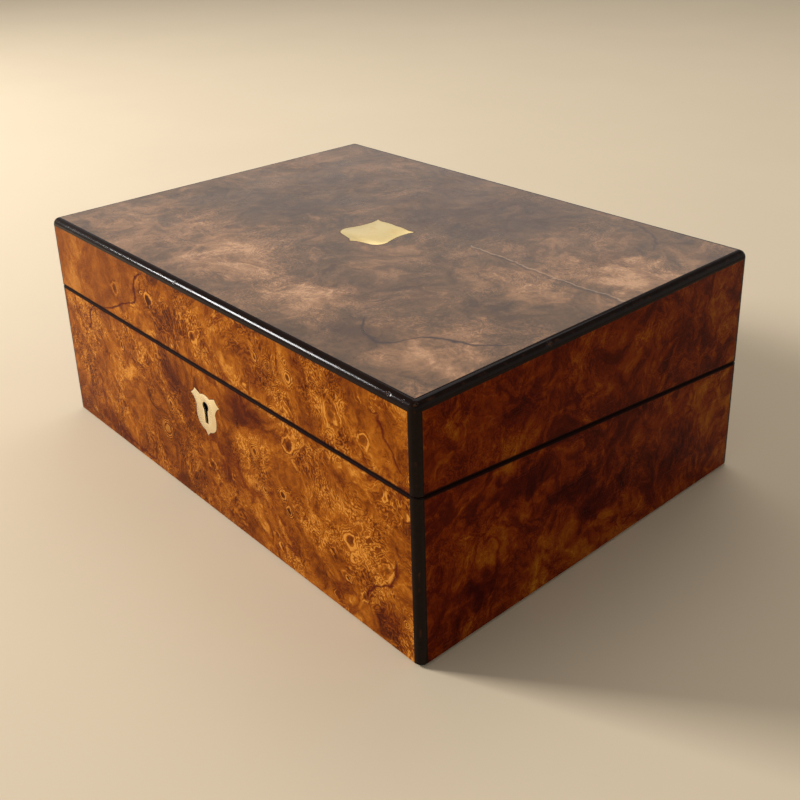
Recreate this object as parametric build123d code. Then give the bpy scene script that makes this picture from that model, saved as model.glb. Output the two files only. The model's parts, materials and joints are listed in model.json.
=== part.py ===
from build123d import *
import math
import os

# Travelling writing box in burr walnut with ebonised edges, in millimetres.
# +X runs along the long front, -Y is the lock side, +Y the hinge side, +Z is up.
# The origin is under the middle of the box, on the surface that it stands on.
# The two halves part on a slope, so the open box makes one continuous writing slope.

# Overall sizes
box_width = 330.0
box_depth = 241.0
box_height = 132.0
front_split = 88.0
shut_gap = 0.3

# Carcass, veneer and edging
board = 8.0
veneer = 1.0
bottom_board = 6.0
top_board = 6.0
baize = 0.8
baize_inset = 1.5
edging = 4.3
edging_round = 4.0
rim_ease = 0.5
foot_ease = 0.8
facing = 1.2
inlay_gap = 0.05
fit_gap = 0.3
running_gap = 0.05
cut_over = 1.0

# Main butt hinges
hinge_length = 40.0
hinge_spacing = 206.0
hinge_knuckle = 2.4
hinge_pin = 0.9
hinge_leaf = 1.3
hinge_leaf_width = 8.0
hinge_axis_out = 0.25
hinge_knuckles = 3
knuckle_gap = 0.15
notch_gap = 0.3

# Wood screws
screw_head = 2.0
screw_shank = 0.7
screw_length = 8.8
screw_tip = 0.1
screw_slot = 0.5
screw_flats = 12
hinge_screw_spacing = 24.0
hinge_screw_in = 5.0

# Escutcheon and keyhole
escutcheon_width = 28.8
escutcheon_height = 25.8
escutcheon_drop = 4.8
keyhole_radius = 2.5
keyhole_slot = 3.0
keyhole_slot_foot = 2.5
keyhole_drop = 9.7

# Lock
lock_width = 52.0
lock_below_key = 11.0
lock_plate_thickness = 1.2
lock_cap_thickness = 0.7
lock_room = 4.8
selvedge_length = 64.0
selvedge_thickness = 1.6
staple_spacing = 28.0
staple_thick = 2.4
staple_deep = 3.4
staple_length = 9.8
staple_front_gap = 0.2
eye_width = 2.0
eye_height = 3.0
eye_tip = 1.6
staple_tip = 0.9
staple_slot_gap = 0.4
bolt_thick = 1.6
bolt_bar = 5.0
bolt_bar_length = 42.0
bolt_travel = 5.0
bolt_finger = 2.4
bolt_rest_gap = 0.7
bolt_bar_gap = 1.9
key_reach = 5.0
talon_radius = 2.6
stump_radius = 1.1
drill_pin = 1.1
link_plate_thickness = 1.4
link_plate_inset = 1.5
lock_screw_spacing = 56.0
link_screw_spacing = 42.0
link_screw_margin = 4.0

# Pen strip: inkwell wells at the ends, pen tray between them
strip_width = 42.0
divider = 8.0
divider_ledge = 4.0
partition = 4.0
partition_shelf = 3.0
well_width = 42.0
well_floor = 12.0
strip_sink = 1.0
finger_notch_radius = 10.0
finger_notch_depth = 4.0
tray_floor_height = 58.0
tray_height = 19.0
tray_corner = 1.0
trough_width = 36.0
trough_depth = 14.0

# Inkwells
inkwell_side = 40.0
inkwell_body = 28.0
inkwell_corner = 3.0
inkwell_shoulder = 4.0
inkwell_neck_side = 22.0
inkwell_neck = 5.0
inkwell_bore = 8.5
inkwell_floor = 6.0
collar_wall = 2.0
collar_gap = 0.2
collar_ear = 4.0
cap_side = 25.0
cap_height = 4.0
cap_bevel = 2.0
cap_gap = 0.15
cap_rim = 3.5
cap_recess = 1.5
cap_knuckle = 1.5
cap_pin = 0.6
cap_knuckle_length = 4.0
cap_axis_gap = 0.1

# Flaps
flap_board = 5.5
flap_sink = 0.5
flap_side_gap = 0.4
flap_end_gap = 0.5
flap_seat_gap = 0.2
flap_rail = 14.0
flap_rail_depth = 6.0
leather = 0.8
leather_border = 12.0
ledge_width = 4.0
ledge_depth = 5.0
flap_hinge_length = 30.0
flap_hinge_spacing = 200.0
flap_knuckle = 1.6
flap_knuckle_sink = 0.1
flap_pin = 0.6
flap_leaf = 1.0
flap_leaf_sink = 0.2
flap_leaf_drop = 2.4
flap_joint_gap = 0.4
flap_neck = 0.6

# Lid flap catch
catch_plate_width = 20.0
catch_plate_length = 12.0
catch_bolt_width = 5.0
catch_bolt_thick = 1.8
catch_bolt_length = 14.0
catch_travel = 3.5
catch_edge_gap = 0.4
catch_stud_radius = 1.2
catch_stud_root = 0.4
catch_gap = 0.15

# Lid cartouche
cartouche_width = 35.2
cartouche_height = 35.6
cartouche_middle = -1.5

# Worked out from the sizes above
wall = veneer + board
half_gap = shut_gap / 2
hinge_proud = hinge_axis_out + hinge_knuckle
front = -(box_depth + hinge_proud) / 2
back = front + box_depth
half_width = box_width / 2
inner_x = half_width - wall
inner_front = front + wall
inner_back = back - wall
hinge_y = back + hinge_axis_out
hinge_z = box_height / 2
slope = math.atan2(front_split - hinge_z, hinge_y - front)
rim = Plane(origin=(0, hinge_y, hinge_z), x_dir=(1, 0, 0), z_dir=(0, math.sin(slope), math.cos(slope)))
bottom_top = baize + bottom_board
lid_ceiling = box_height - veneer - top_board
far = 2 * box_width
BASE = -1
LID = 1

parts = {}


def block(x0, x1, y0, y1, z0, z1):
    # A plain block between six planes
    middle = Pos((x0 + x1) / 2, (y0 + y1) / 2, (z0 + z1) / 2)
    return middle * Box(x1 - x0, y1 - y0, z1 - z0)


def rim_block(side, x0, x1, u0, u1, d0, d1):
    # A block set out on the sloped rim: u from the hinge axis to the front, d into this half
    low, high = sorted((side * d0, side * d1))
    return rim.location * block(x0, x1, -u1, -u0, low, high)


def beyond(side, depth):
    # Everything in this half that lies deeper than depth under the rim
    return rim_block(side, -far, far, -far, far, depth, far)


def rod(radius, x0, x1, y, z):
    # A round bar along X
    return Pos((x0 + x1) / 2, y, z) * Rot(0, 90, 0) * Cylinder(radius, x1 - x0)


def on_rim(u, d, side):
    # The place in Y and Z of a point set out on the sloped rim
    spot = rim.from_local_coords((0, -u, side * d))
    return spot.Y, spot.Z


def rim_u(y, d, side):
    # The distance from the hinge axis at which a line at depth d crosses the upright plane y
    return (hinge_y - y + side * d * math.sin(slope)) / math.cos(slope)


def column(points, z0, z1):
    # An upright prism over an outline in plan
    outline = Wire.make_polygon([(x, y, z0) for x, y in points], close=True)
    return extrude(Face(outline), amount=z1 - z0, dir=(0, 0, 1))


def union(shapes):
    joined = shapes[0]
    for shape in shapes[1:]:
        joined = joined + shape
    return joined


def corner_squares():
    # The four upright rebates that the ebonised corner strips fill
    squares = []
    for x0 in (-half_width, half_width - edging):
        for y0 in (front, back - edging):
            squares.append(block(x0, x0 + edging, y0, y0 + edging, -cut_over, box_height + cut_over))
    return squares


def frame_trapezia(outer, inner):
    # Four mitred lengths of a frame in plan, named by side
    ox, iy = half_width - outer, half_width - inner
    of, ob = front + outer, back - outer
    nf, nb = front + inner, back - inner
    return {
        "front": [(-ox, of), (ox, of), (iy, nf), (-iy, nf)],
        "right": [(ox, of), (ox, ob), (iy, nb), (iy, nf)],
        "back": [(ox, ob), (-ox, ob), (-iy, nb), (iy, nb)],
        "left": [(-ox, ob), (-ox, of), (-iy, nf), (-iy, nb)],
    }


def outer_case():
    # The whole closed box with its rounded upright and top edges
    case = block(-half_width, half_width, front, back, baize, box_height)
    edges = case.edges().filter_by(Axis.Z) + case.edges().group_by(Axis.Z)[-1]
    case = fillet(edges, edging_round)
    return chamfer(case.edges().group_by(Axis.Z)[0], foot_ease)


def half_case(case, side):
    # One half of the case, with the arris at the shut line eased
    half = case & beyond(side, half_gap)
    rim_face = half.faces().sort_by(Axis.Z)[-1 if side == BASE else 0]
    return chamfer(rim_face.edges(), rim_ease)


def knuckle_notches():
    # Clearance for both hinge barrels in the back of both halves
    notches = []
    for x in (-hinge_spacing / 2, hinge_spacing / 2):
        reach = hinge_length / 2 + notch_gap
        notches.append(rod(hinge_knuckle + notch_gap, x - reach, x + reach, hinge_y, hinge_z))
    return notches


def leaf_blank(x, side, over=0.0):
    # The plate of one hinge leaf, let in flush with the rim, or with over the rebate for it
    reach = hinge_length / 2
    return rim_block(side, x - reach, x + reach, 0, hinge_leaf_width, half_gap - over, half_gap + hinge_leaf)


def mirrored_face(right):
    # A face from its right half's outline, which starts and ends on the centre line
    return make_face(right + [mirror(edge, about=Plane.YZ) for edge in right])


def spread(points, width, height):
    # Points given as shares of half the width and half the height, at their real places
    return [(x * width / 2, y * height / 2) for x, y in points]


def escutcheon_blank():
    # The lock escutcheon: double-pointed ears, hollow sides and a pointed foot, drawn about its middle
    corners = [(0, 0.93), (0.31, 0.85), (0.67, 1), (1, 0.68), (0.64, 0.22), (0.6, -0.5), (0.16, -0.79)]
    bends = [(0.17, 0.91), (0.81, 0.81), (0.76, 0.48), (0.67, -0.19), (0.4, -0.69)]
    hump, dip, ear, wing, waist, corner, neck = spread(corners, escutcheon_width, escutcheon_height)
    tip = (0, -escutcheon_height / 2)
    crest, brow, hollow, side, belly = spread(bends, escutcheon_width, escutcheon_height)
    right = [
        ThreePointArc(hump, crest, dip),
        Line(dip, ear),
        ThreePointArc(ear, brow, wing),
        ThreePointArc(wing, hollow, waist),
        ThreePointArc(waist, side, corner),
        ThreePointArc(corner, belly, neck),
        Line(neck, tip),
    ]
    plate = extrude(mirrored_face(right), amount=veneer)
    return Pos(0, front + veneer, keyhole_height - escutcheon_drop) * Rot(90, 0, 0) * plate


def keyhole_cutter(y0, y1, gap=0.0):
    # A round-topped keyhole with a slot that narrows a little downwards
    eye = extrude(Plane.XZ * Circle(keyhole_radius + gap), amount=-(y1 - y0))
    top, foot = keyhole_slot / 2 + gap, keyhole_slot_foot / 2 + gap
    low = -keyhole_drop - gap
    outline = Wire.make_polygon([(-top, 0, 0), (top, 0, 0), (foot, 0, low), (-foot, 0, low)], close=True)
    slot = extrude(Face(outline), amount=y1 - y0, dir=(0, 1, 0))
    return Pos(0, y0, keyhole_height) * (eye + slot)


def cartouche_blank():
    # The cartouche let into the top veneer, with flared ears, hollow sides and a full belly
    corners = [
        (0, 0.97), (0.3, 0.99), (0.66, 0.94), (0.94, 1),
        (0.85, 0.53), (1, -0.2), (0.74, -0.75), (0.18, -0.87),
    ]
    bends = [(0.15, 0.99), (0.49, 0.97), (0.81, 0.96), (0.87, 0.79), (0.89, 0.16), (0.99, -0.54)]
    middle, crest, dip, ear, neck, swell, foot, step = spread(corners, cartouche_width, cartouche_height)
    brow, hollow, flare, lobe, side, belly = spread(bends, cartouche_width, cartouche_height)
    tip = (0, -cartouche_height / 2)
    right = [
        ThreePointArc(middle, brow, crest),
        ThreePointArc(crest, hollow, dip),
        ThreePointArc(dip, flare, ear),
        ThreePointArc(ear, lobe, neck),
        ThreePointArc(neck, side, swell),
        ThreePointArc(swell, belly, foot),
        Line(foot, step),
        Line(step, tip),
    ]
    plate = extrude(mirrored_face(right), amount=veneer)
    return Pos(0, (front + back) / 2 + cartouche_middle, box_height - veneer) * plate


def tapered_peg(top, foot, length):
    # A peg with a few flats all round, which narrows downwards from the origin
    turns = [2 * math.pi * i / screw_flats for i in range(screw_flats)]
    rings = [
        [(radius * math.cos(turn), radius * math.sin(turn), z) for turn in turns]
        for radius, z in ((top, 0), (foot, -length))
    ]
    faces = [Face(Wire.make_polygon(ring, close=True)) for ring in rings]
    upper, lower = rings
    for i in range(screw_flats):
        flat = [upper[i - 1], upper[i], lower[i], lower[i - 1]]
        faces.append(Face(Wire.make_polygon(flat, close=True)))
    return Solid(Shell(faces))


def screw_shape(gap=0.0):
    # A countersunk head and a tapered shank, head up, its top at the origin
    countersink = screw_head - screw_shank
    head = tapered_peg(screw_head + gap, screw_shank + gap, countersink)
    shank = tapered_peg(screw_shank + gap, screw_tip + gap, screw_length - countersink)
    return head + Pos(0, 0, -countersink) * shank


def screw():
    return screw_shape() - Box(4 * screw_head, screw_slot, 2 * screw_slot)


def screw_hole():
    # The hole that a screw sits in, open above its head
    wide = RegularPolygon(screw_head + running_gap, screw_flats)
    narrow = RegularPolygon(screw_tip + running_gap, screw_flats)
    point = extrude(narrow, amount=screw_length + running_gap, dir=(0, 0, -1))
    return screw_shape(running_gap) + point + extrude(wide, amount=cut_over)


def rim_spot(x, u, depth, side):
    # A place on the sloped rim, with Z pointing out of this half
    y, z = on_rim(u, depth, side)
    turn = -math.degrees(slope) if side == BASE else 180 - math.degrees(slope)
    return Pos(x, y, z) * Rot(turn, 0, 0)


def hinge_screw_spots(side):
    spots = []
    for centre in (-hinge_spacing / 2, hinge_spacing / 2):
        for shift in (-hinge_screw_spacing / 2, hinge_screw_spacing / 2):
            spots.append(rim_spot(centre + shift, hinge_screw_in, half_gap, side))
    return spots


def front_middle(depth, side):
    # The middle of the lock in u, at a depth under the rim
    return rim_u(front + wall - lock_plate_thickness - lock_room / 2, depth, side)


def plate_screw_spots(side, spacing):
    u = front_middle(half_gap, side)
    return [rim_spot(x, u, half_gap, side) for x in (-spacing / 2, spacing / 2)]


# Lock: where its layers lie behind the front face
cap_front = front + wall - lock_plate_thickness - lock_room - lock_cap_thickness
room_front = cap_front + lock_cap_thickness
room_back = room_front + lock_room
staple_front = room_front + staple_front_gap
staple_middle = staple_front + staple_deep / 2
rim_z_at_staple = hinge_z + (hinge_y - staple_middle) * math.tan(slope)
staple_low = rim_z_at_staple + half_gap - staple_length
eye_middle = staple_low + eye_tip + eye_height / 2
lock_half = lock_width / 2
bolt_low = staple_low - bolt_bar_gap - bolt_bar
bolt_front = staple_middle - bolt_thick / 2
keyhole_height = bolt_low - key_reach
lock_bottom = keyhole_height - lock_below_key


def selvedge_blank(gap=0.0, over=0.0):
    # The lock's top plate, let in flush with the sloped rim, or with gap and over the rebate for it
    u_front = rim_u(cap_front, half_gap, BASE) + gap
    u_back = rim_u(front + wall, half_gap, BASE) - over
    reach = selvedge_length / 2 + gap
    low = half_gap + selvedge_thickness + gap
    return rim_block(BASE, -reach, reach, u_back, u_front, half_gap - over, low)


def staple_slots():
    # Two slots in the top plate, as wide as the room behind, for the lid's staples to swing out of
    slots = []
    for x in (-staple_spacing / 2, staple_spacing / 2):
        reach = staple_thick / 2 + staple_slot_gap
        slots.append(block(x - reach, x + reach, room_front, room_back, lock_bottom, box_height))
    return slots


def make_lock():
    # The back plate with its top plate, two stumps that guide the bolt and the pin that the key turns on
    below_top = beyond(BASE, half_gap + selvedge_thickness)
    plate = block(-lock_half, lock_half, room_back, front + wall, lock_bottom, box_height) & below_top
    lock_plate = plate + (selvedge_blank() & block(-far, far, cap_front, front + wall, 0, box_height))
    lock_plate = lock_plate - union(staple_slots())
    pins = []
    stump_length = lock_room - fit_gap
    for x in (-bolt_bar_length / 4, bolt_bar_length / 4):
        stump = Rot(90, 0, 0) * Cylinder(stump_radius, stump_length)
        pins.append(Pos(x, room_back - stump_length / 2, bolt_low + bolt_bar / 2) * stump)
    post_length = lock_room + lock_cap_thickness
    post = Rot(90, 0, 0) * Cylinder(drill_pin, post_length)
    pins.append(Pos(0, room_back - post_length / 2, keyhole_height) * post)
    lock_plate = lock_plate + union(pins)
    for spot in plate_screw_spots(BASE, lock_screw_spacing):
        lock_plate = lock_plate - spot * screw_hole()
    parts["lock_plate"] = lock_plate

    cap = block(-lock_half, lock_half, cap_front, room_back, lock_bottom, box_height) & below_top
    lip = lock_cap_thickness
    room = block(-lock_half + lip, lock_half - lip, room_front, far, lock_bottom + lip, box_height)
    cap = cap - room
    parts["lock_cap"] = cap - keyhole_cutter(cap_front - cut_over, room_back)


def make_lock_bolt():
    # The bolt at rest is drawn back: each finger stops short of its staple's eye
    bar_half = bolt_bar_length / 2
    shift = -bolt_travel / 2
    bolt_back, bar_top = bolt_front + bolt_thick, bolt_low + bolt_bar
    bolt = block(shift - bar_half, shift + bar_half, bolt_front, bolt_back, bolt_low, bar_top)
    for x in (-staple_spacing / 2, staple_spacing / 2):
        tip = x - staple_thick / 2 - bolt_rest_gap
        root = tip - bolt_travel - bolt_finger
        low, high = eye_middle - bolt_finger / 2, eye_middle + bolt_finger / 2
        finger = block(root, tip, bolt_front, bolt_back, low, high)
        stem = block(root, root + bolt_finger, bolt_front, bolt_back, bolt_low, high)
        bolt = bolt + finger + stem
    thin = stump_radius + 2 * running_gap
    middle = bolt_low + bolt_bar / 2
    for x in (-bolt_bar_length / 4, bolt_bar_length / 4):
        slot = block(x - bolt_travel, x, front, inner_front, middle - thin, middle + thin)
        for end in (x - bolt_travel, x):
            round_end = Rot(90, 0, 0) * Cylinder(thin, 4 * bolt_thick)
            slot = slot + Pos(end, staple_middle, middle) * round_end
        bolt = bolt - slot
    talon = Pos(shift, staple_middle, bolt_low) * Rot(90, 0, 0) * Cylinder(talon_radius, 4 * bolt_thick)
    parts["lock_bolt"] = bolt - talon


def make_link_plate():
    # The plate in the lid's rim, with two eyed staples that drop into the lock
    u_front = rim_u(cap_front, half_gap, LID)
    u_back = rim_u(front + wall - link_plate_inset, half_gap, LID)
    reach = link_screw_spacing / 2 + link_screw_margin
    plate = rim_block(LID, -reach, reach, u_back, u_front, half_gap, half_gap + link_plate_thickness)
    staples = []
    for x in (-staple_spacing / 2, staple_spacing / 2):
        high = rim_z_at_staple + half_gap + link_plate_thickness / 2
        x0, x1 = x - staple_thick / 2, x + staple_thick / 2
        y0, y1 = staple_front, staple_front + staple_deep
        staple = block(x0, x1, y0, y1, staple_low, high)
        staple = chamfer(staple.edges().filter_by(Axis.X).group_by(Axis.Z)[0], staple_tip)
        eye = block(
            x0 - cut_over, x1 + cut_over,
            staple_middle - eye_width / 2, staple_middle + eye_width / 2,
            eye_middle - eye_height / 2, eye_middle + eye_height / 2,
        )
        staples.append(staple - eye)
    link = plate + union(staples)
    for spot in plate_screw_spots(LID, link_screw_spacing):
        link = link - spot * screw_hole()
    parts["lock_link_plate"] = link
    reach = reach + inlay_gap
    low = half_gap + link_plate_thickness
    return rim_block(LID, -reach, reach, u_back - inlay_gap, u_front + inlay_gap, half_gap - cut_over, low)


def make_hinges():
    # Two butt hinges; the base leaf has the outer and middle knuckles
    pitch = hinge_length / hinge_knuckles
    leaves = {BASE: [], LID: []}
    pins = []
    for centre in (-hinge_spacing / 2, hinge_spacing / 2):
        start = centre - hinge_length / 2
        for side in (BASE, LID):
            leaf = leaf_blank(centre, side)
            own, other = [], []
            for i in range(hinge_knuckles):
                mine = (i % 2 == 0) == (side == BASE)
                x0, x1 = start + i * pitch, start + (i + 1) * pitch
                if mine:
                    x0 = x0 + (knuckle_gap / 2 if i else 0)
                    x1 = x1 - (knuckle_gap / 2 if i < hinge_knuckles - 1 else 0)
                    own.append(rod(hinge_knuckle, x0, x1, hinge_y, hinge_z))
                else:
                    x0, x1 = x0 - knuckle_gap / 2, x1 + knuckle_gap / 2
                    other.append(rod(hinge_knuckle + notch_gap, x0, x1, hinge_y, hinge_z))
            leaf = leaf - union(other)
            leaf = leaf + union(own)
            end = start + hinge_length
            bore = rod(hinge_pin + running_gap, start - cut_over, end + cut_over, hinge_y, hinge_z)
            leaves[side].append(leaf - bore)
        pins.append(rod(hinge_pin, start, start + hinge_length, hinge_y, hinge_z))
    for side, name in ((BASE, "base_hinge_leaves"), (LID, "lid_hinge_leaves")):
        both = union(leaves[side])
        for spot in hinge_screw_spots(side):
            both = both - spot * screw_hole()
        parts[name] = both
    parts["hinge_pins"] = union(pins)


def make_walls(case_half, side):
    # The four carcass boards, their veneers, the corner strips and the rim facings of one half
    name = "base" if side == BASE else "lid"
    low, high = (bottom_top, box_height) if side == BASE else (0, lid_ceiling)
    skin_top = box_height if side == BASE else box_height - edging
    under_facing = beyond(side, half_gap + facing)
    squares = corner_squares()
    corners = union(squares)
    walls = {
        "front": block(-inner_x, inner_x, front + veneer, inner_front, low, high),
        "back": block(-inner_x, inner_x, inner_back, back - veneer, low, high),
        "left": block(-half_width + veneer, -inner_x, front + veneer, back - veneer, low, high) - corners,
        "right": block(inner_x, half_width - veneer, front + veneer, back - veneer, low, high) - corners,
    }
    clear_x = half_width - edging
    skins = {
        "front": block(-clear_x, clear_x, front, front + veneer, 0, skin_top),
        "back": block(-clear_x, clear_x, back - veneer, back, 0, skin_top),
        "left": block(-half_width, -half_width + veneer, front + edging, back - edging, 0, skin_top),
        "right": block(half_width - veneer, half_width, front + edging, back - edging, 0, skin_top),
    }
    for key, wall_board in walls.items():
        parts[f"{name}_{key}_board"] = wall_board & under_facing
        parts[f"{name}_{key}_veneer"] = case_half & skins[key]
    parts[f"{name}_corner_strips"] = union([
        case_half & (square & block(-far, far, -far, far, 0, skin_top)) for square in squares
    ])
    ring = beyond(side, half_gap) - beyond(side, half_gap + facing)
    lengths = [column(outline, 0, box_height) for outline in frame_trapezia(veneer, wall).values()]
    parts[f"{name}_rim_facings"] = union_apart([(length & ring) - corners for length in lengths])


def union_apart(shapes):
    # Separate solids kept side by side in one node
    solids = []
    for shape in shapes:
        solids.extend(shape.solids())
    return Compound(children=solids)


def make_bottom():
    # The bottom board and the baize under it
    plan = block(-half_width + veneer, half_width - veneer, front + veneer, back - veneer, baize, bottom_top)
    parts["base_bottom_board"] = plan - union(corner_squares())
    cloth = block(
        -half_width + baize_inset, half_width - baize_inset, front + baize_inset, back - baize_inset, 0, baize
    )
    parts["base_baize"] = fillet(cloth.edges().filter_by(Axis.Z), edging_round - baize_inset)


def make_top(case_half):
    # The rebated top board, its veneer, the cartouche and the four mitred edgings
    inner = block(-half_width + edging, half_width - edging, front + edging, back - edging, 0, box_height)
    wide, shoulder = half_width - veneer, box_height - edging
    low = block(-wide, wide, front + veneer, back - veneer, lid_ceiling, shoulder)
    low = low - union(corner_squares())
    high = inner & block(-far, far, -far, far, shoulder, box_height - veneer)
    parts["lid_top_board"] = low + high
    skin = inner & block(-far, far, -far, far, box_height - veneer, box_height)
    parts["lid_top_veneer"] = skin - cartouche_blank()
    parts["lid_cartouche"] = cartouche_blank()
    top = box_height + cut_over
    band = block(-far, far, -far, far, shoulder, top)
    lengths = [column(outline, 0, top) for outline in frame_trapezia(0, edging).values()]
    parts["lid_top_edgings"] = union_apart([case_half & band & length for length in lengths])


def interior(side):
    # The space inside one half's walls
    low, high = (bottom_top, box_height) if side == BASE else (0, lid_ceiling)
    return block(-inner_x, inner_x, inner_front, inner_back, low, high)


# Flaps: where they turn and how far they reach on the rim
rail_end = rim_u(inner_back, half_gap, BASE) + flap_rail
flap_axis_u = rail_end + flap_knuckle + flap_joint_gap
flap_axis_d = flap_sink + flap_knuckle + flap_knuckle_sink
flap_start = flap_axis_u + flap_knuckle + flap_joint_gap
flap_under = flap_sink + flap_board
divider_front = inner_front + strip_width
divider_back = divider_front + divider
ledge_face = rim_u(divider_back - divider_ledge, 0, BASE)
flap_reach = {
    BASE: ledge_face - flap_end_gap,
    LID: rim_u(inner_front, 0, LID) - flap_end_gap,
}
seat_depth = flap_under + flap_seat_gap


def make_rail(side):
    # The fixed rail beside the fold that carries the flap's hinges
    rail = rim_block(side, -far, far, 0, rail_end, half_gap, half_gap + flap_rail_depth)
    return rail & interior(side)


def make_flap(side, name):
    # A flap board round a sunk leather, on two small hinges whose pins are riveted into the rail's leaves
    reach = inner_x - flap_side_gap
    flap = rim_block(side, -reach, reach, flap_start, flap_reach[side], flap_sink, flap_under)
    wide = reach - leather_border
    u0, u1 = flap_start + leather_border, flap_reach[side] - leather_border
    well = rim_block(side, -wide, wide, u0, u1, 0, flap_sink + leather)
    skin = rim_block(side, -wide, wide, u0, u1, flap_sink, flap_sink + leather)
    rail = make_rail(side)
    fixed, moving = [], []
    axis_y, axis_z = on_rim(flap_axis_u, flap_axis_d, side)
    third = flap_hinge_length / 3
    top = flap_sink + flap_leaf_sink
    low = flap_axis_d + flap_leaf_drop
    for centre in (-flap_hinge_spacing / 2, flap_hinge_spacing / 2):
        x0, x1 = centre - flap_hinge_length / 2, centre + flap_hinge_length / 2
        rail_leaf = rim_block(side, x0, x1, rail_end - flap_leaf, rail_end, top, low)
        flap_leaf_plate = rim_block(side, x0, x1, flap_start, flap_start + flap_leaf, top, low)
        rail = rail - rim_block(side, x0, x1, rail_end - flap_leaf, rail_end + cut_over, 0, low)
        flap = flap - rim_block(side, x0, x1, flap_start - cut_over, flap_start + flap_leaf, 0, low)
        neck_low, neck_high = flap_axis_d - flap_neck, flap_axis_d + flap_neck
        bore = rod(flap_pin + running_gap, x0 - cut_over, x1 + cut_over, axis_y, axis_z)
        neck_start, neck_end = rail_end - flap_leaf / 2, flap_axis_u - flap_pin
        for a, b in ((x0, x0 + third), (x1 - third, x1)):
            barrel = rod(flap_knuckle, a, b, axis_y, axis_z)
            neck = rim_block(side, a, b, neck_start, neck_end, neck_low, neck_high)
            rail_leaf = rail_leaf + barrel + neck
        a, b = x0 + third + knuckle_gap, x1 - third - knuckle_gap
        barrel = rod(flap_knuckle, a, b, axis_y, axis_z)
        neck = rim_block(side, a, b, flap_axis_u + flap_pin, flap_start + flap_leaf / 2, neck_low, neck_high)
        flap_leaf_plate = flap_leaf_plate + barrel + neck
        middle = (x0 + x1) / 2
        reach = third / 2 + knuckle_gap
        fixed.append(rail_leaf + rod(flap_pin, middle - reach, middle + reach, axis_y, axis_z))
        moving.append(flap_leaf_plate - bore)
    parts[f"{name}_flap_rail"] = rail
    parts[f"{name}_flap_board"] = flap - well
    parts[f"{name}_flap_leather"] = skin
    parts[f"{name}_flap_hinges"] = union_apart(fixed)
    parts[f"{name}_flap_hinge_leaves"] = union_apart(moving)


def make_ledges(side, name):
    # Bearers glued to the walls, which the shut flap lies on
    deep = seat_depth + ledge_depth
    ledges = []
    for x0, x1 in ((-inner_x, -inner_x + ledge_width), (inner_x - ledge_width, inner_x)):
        ledges.append(rim_block(side, x0, x1, rail_end, far, seat_depth, deep) & interior(side))
    if side == LID:
        front_ledge = rim_u(inner_front, 0, LID) - ledge_width
        across = rim_block(side, -far, far, front_ledge, far, seat_depth, deep) & interior(side)
        ledges = [ledge - across for ledge in ledges]
        ledges.append(across)
    else:
        uprights = block(-far, far, inner_front, divider_back, 0, box_height)
        ledges = [ledge - uprights for ledge in ledges]
    parts[f"{name}_flap_ledges"] = union_apart(ledges)


def make_strip():
    # The divider behind the pen strip, the partitions, the well floors and the pen tray
    below_rim = beyond(BASE, strip_sink)
    upright = block(-inner_x, inner_x, divider_front, divider_back, bottom_top, box_height) & below_rim
    rebate = rim_block(BASE, -far, far, 0, ledge_face, 0, seat_depth)
    crest = hinge_z + (hinge_y - divider_front) * math.tan(slope) - strip_sink
    scoop = Rot(90, 0, 0) * Cylinder(finger_notch_radius, 2 * divider)
    scoop = Pos(0, divider_front + divider / 2, crest + finger_notch_radius - finger_notch_depth) * scoop
    parts["strip_divider"] = upright - rebate - scoop

    walls, floors = [], []
    for sign in (-1, 1):
        near, away = inner_x - well_width - partition, inner_x - well_width
        x0, x1 = sorted((sign * near, sign * away))
        upright = block(x0, x1, inner_front, divider_front, bottom_top, box_height) & below_rim
        s0, s1 = sorted((sign * (near - partition_shelf), sign * near))
        shelf = block(s0, s1, inner_front, divider_front, bottom_top, tray_floor_height)
        walls.append(upright + shelf)
        f0, f1 = sorted((sign * away, sign * inner_x))
        floors.append(block(f0, f1, inner_front, divider_front, bottom_top, bottom_top + well_floor))
    parts["well_partitions"] = union_apart(walls)
    parts["well_floors"] = union_apart(floors)

    tray_x = inner_x - well_width - partition - fit_gap
    tray_top = tray_floor_height + tray_height
    tray = block(-tray_x, tray_x, inner_front + fit_gap, divider_front - fit_gap, tray_floor_height, tray_top)
    radius = ((trough_width / 2) ** 2 + trough_depth**2) / (2 * trough_depth)
    rise = radius - trough_depth
    middle = (inner_front + divider_front) / 2
    run = tray_x - (strip_width - trough_width) / 2 - trough_depth
    trough = rod(radius, -run, run, middle, tray_top + rise)
    for sign in (-1, 1):
        scoop = Rot(0, sign * 90, 0) * Cone(radius, rise, trough_depth)
        trough = trough + Pos(sign * (run + trough_depth / 2), middle, tray_top + rise) * scoop
    tray = tray - trough
    parts["pen_tray"] = fillet(tray.edges().filter_by(Axis.Z), tray_corner)


# Inkwells: where they stand and how high their parts reach
well_middle_x = inner_x - well_width / 2
well_middle_y = inner_front + strip_width / 2
inkwell_foot = bottom_top + well_floor
shoulder_z = inkwell_foot + inkwell_body
neck_top = shoulder_z + inkwell_neck
collar_half = inkwell_neck_side / 2 + running_gap + collar_wall
cap_axis_y = well_middle_y - collar_half - cap_knuckle - cap_axis_gap
cap_axis_z = neck_top + cap_gap


def make_inkwell(x, name):
    # A square glass inkwell with cut corners, a bevelled shoulder, a square neck and a round bore
    half = inkwell_side / 2
    body = block(-half, half, -half, half, 0, inkwell_body)
    body = chamfer(body.edges().filter_by(Axis.Z), inkwell_corner)
    body = chamfer(body.edges().group_by(Axis.Z)[-1], inkwell_shoulder)
    half = inkwell_neck_side / 2
    neck = block(-half, half, -half, half, inkwell_body, inkwell_body + inkwell_neck)
    deep = inkwell_body + inkwell_neck - inkwell_floor + cut_over
    bore = Pos(0, 0, inkwell_floor + deep / 2) * Cylinder(inkwell_bore, deep)
    parts[name] = Pos(x, well_middle_y, inkwell_foot) * (body + neck - bore)


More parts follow.
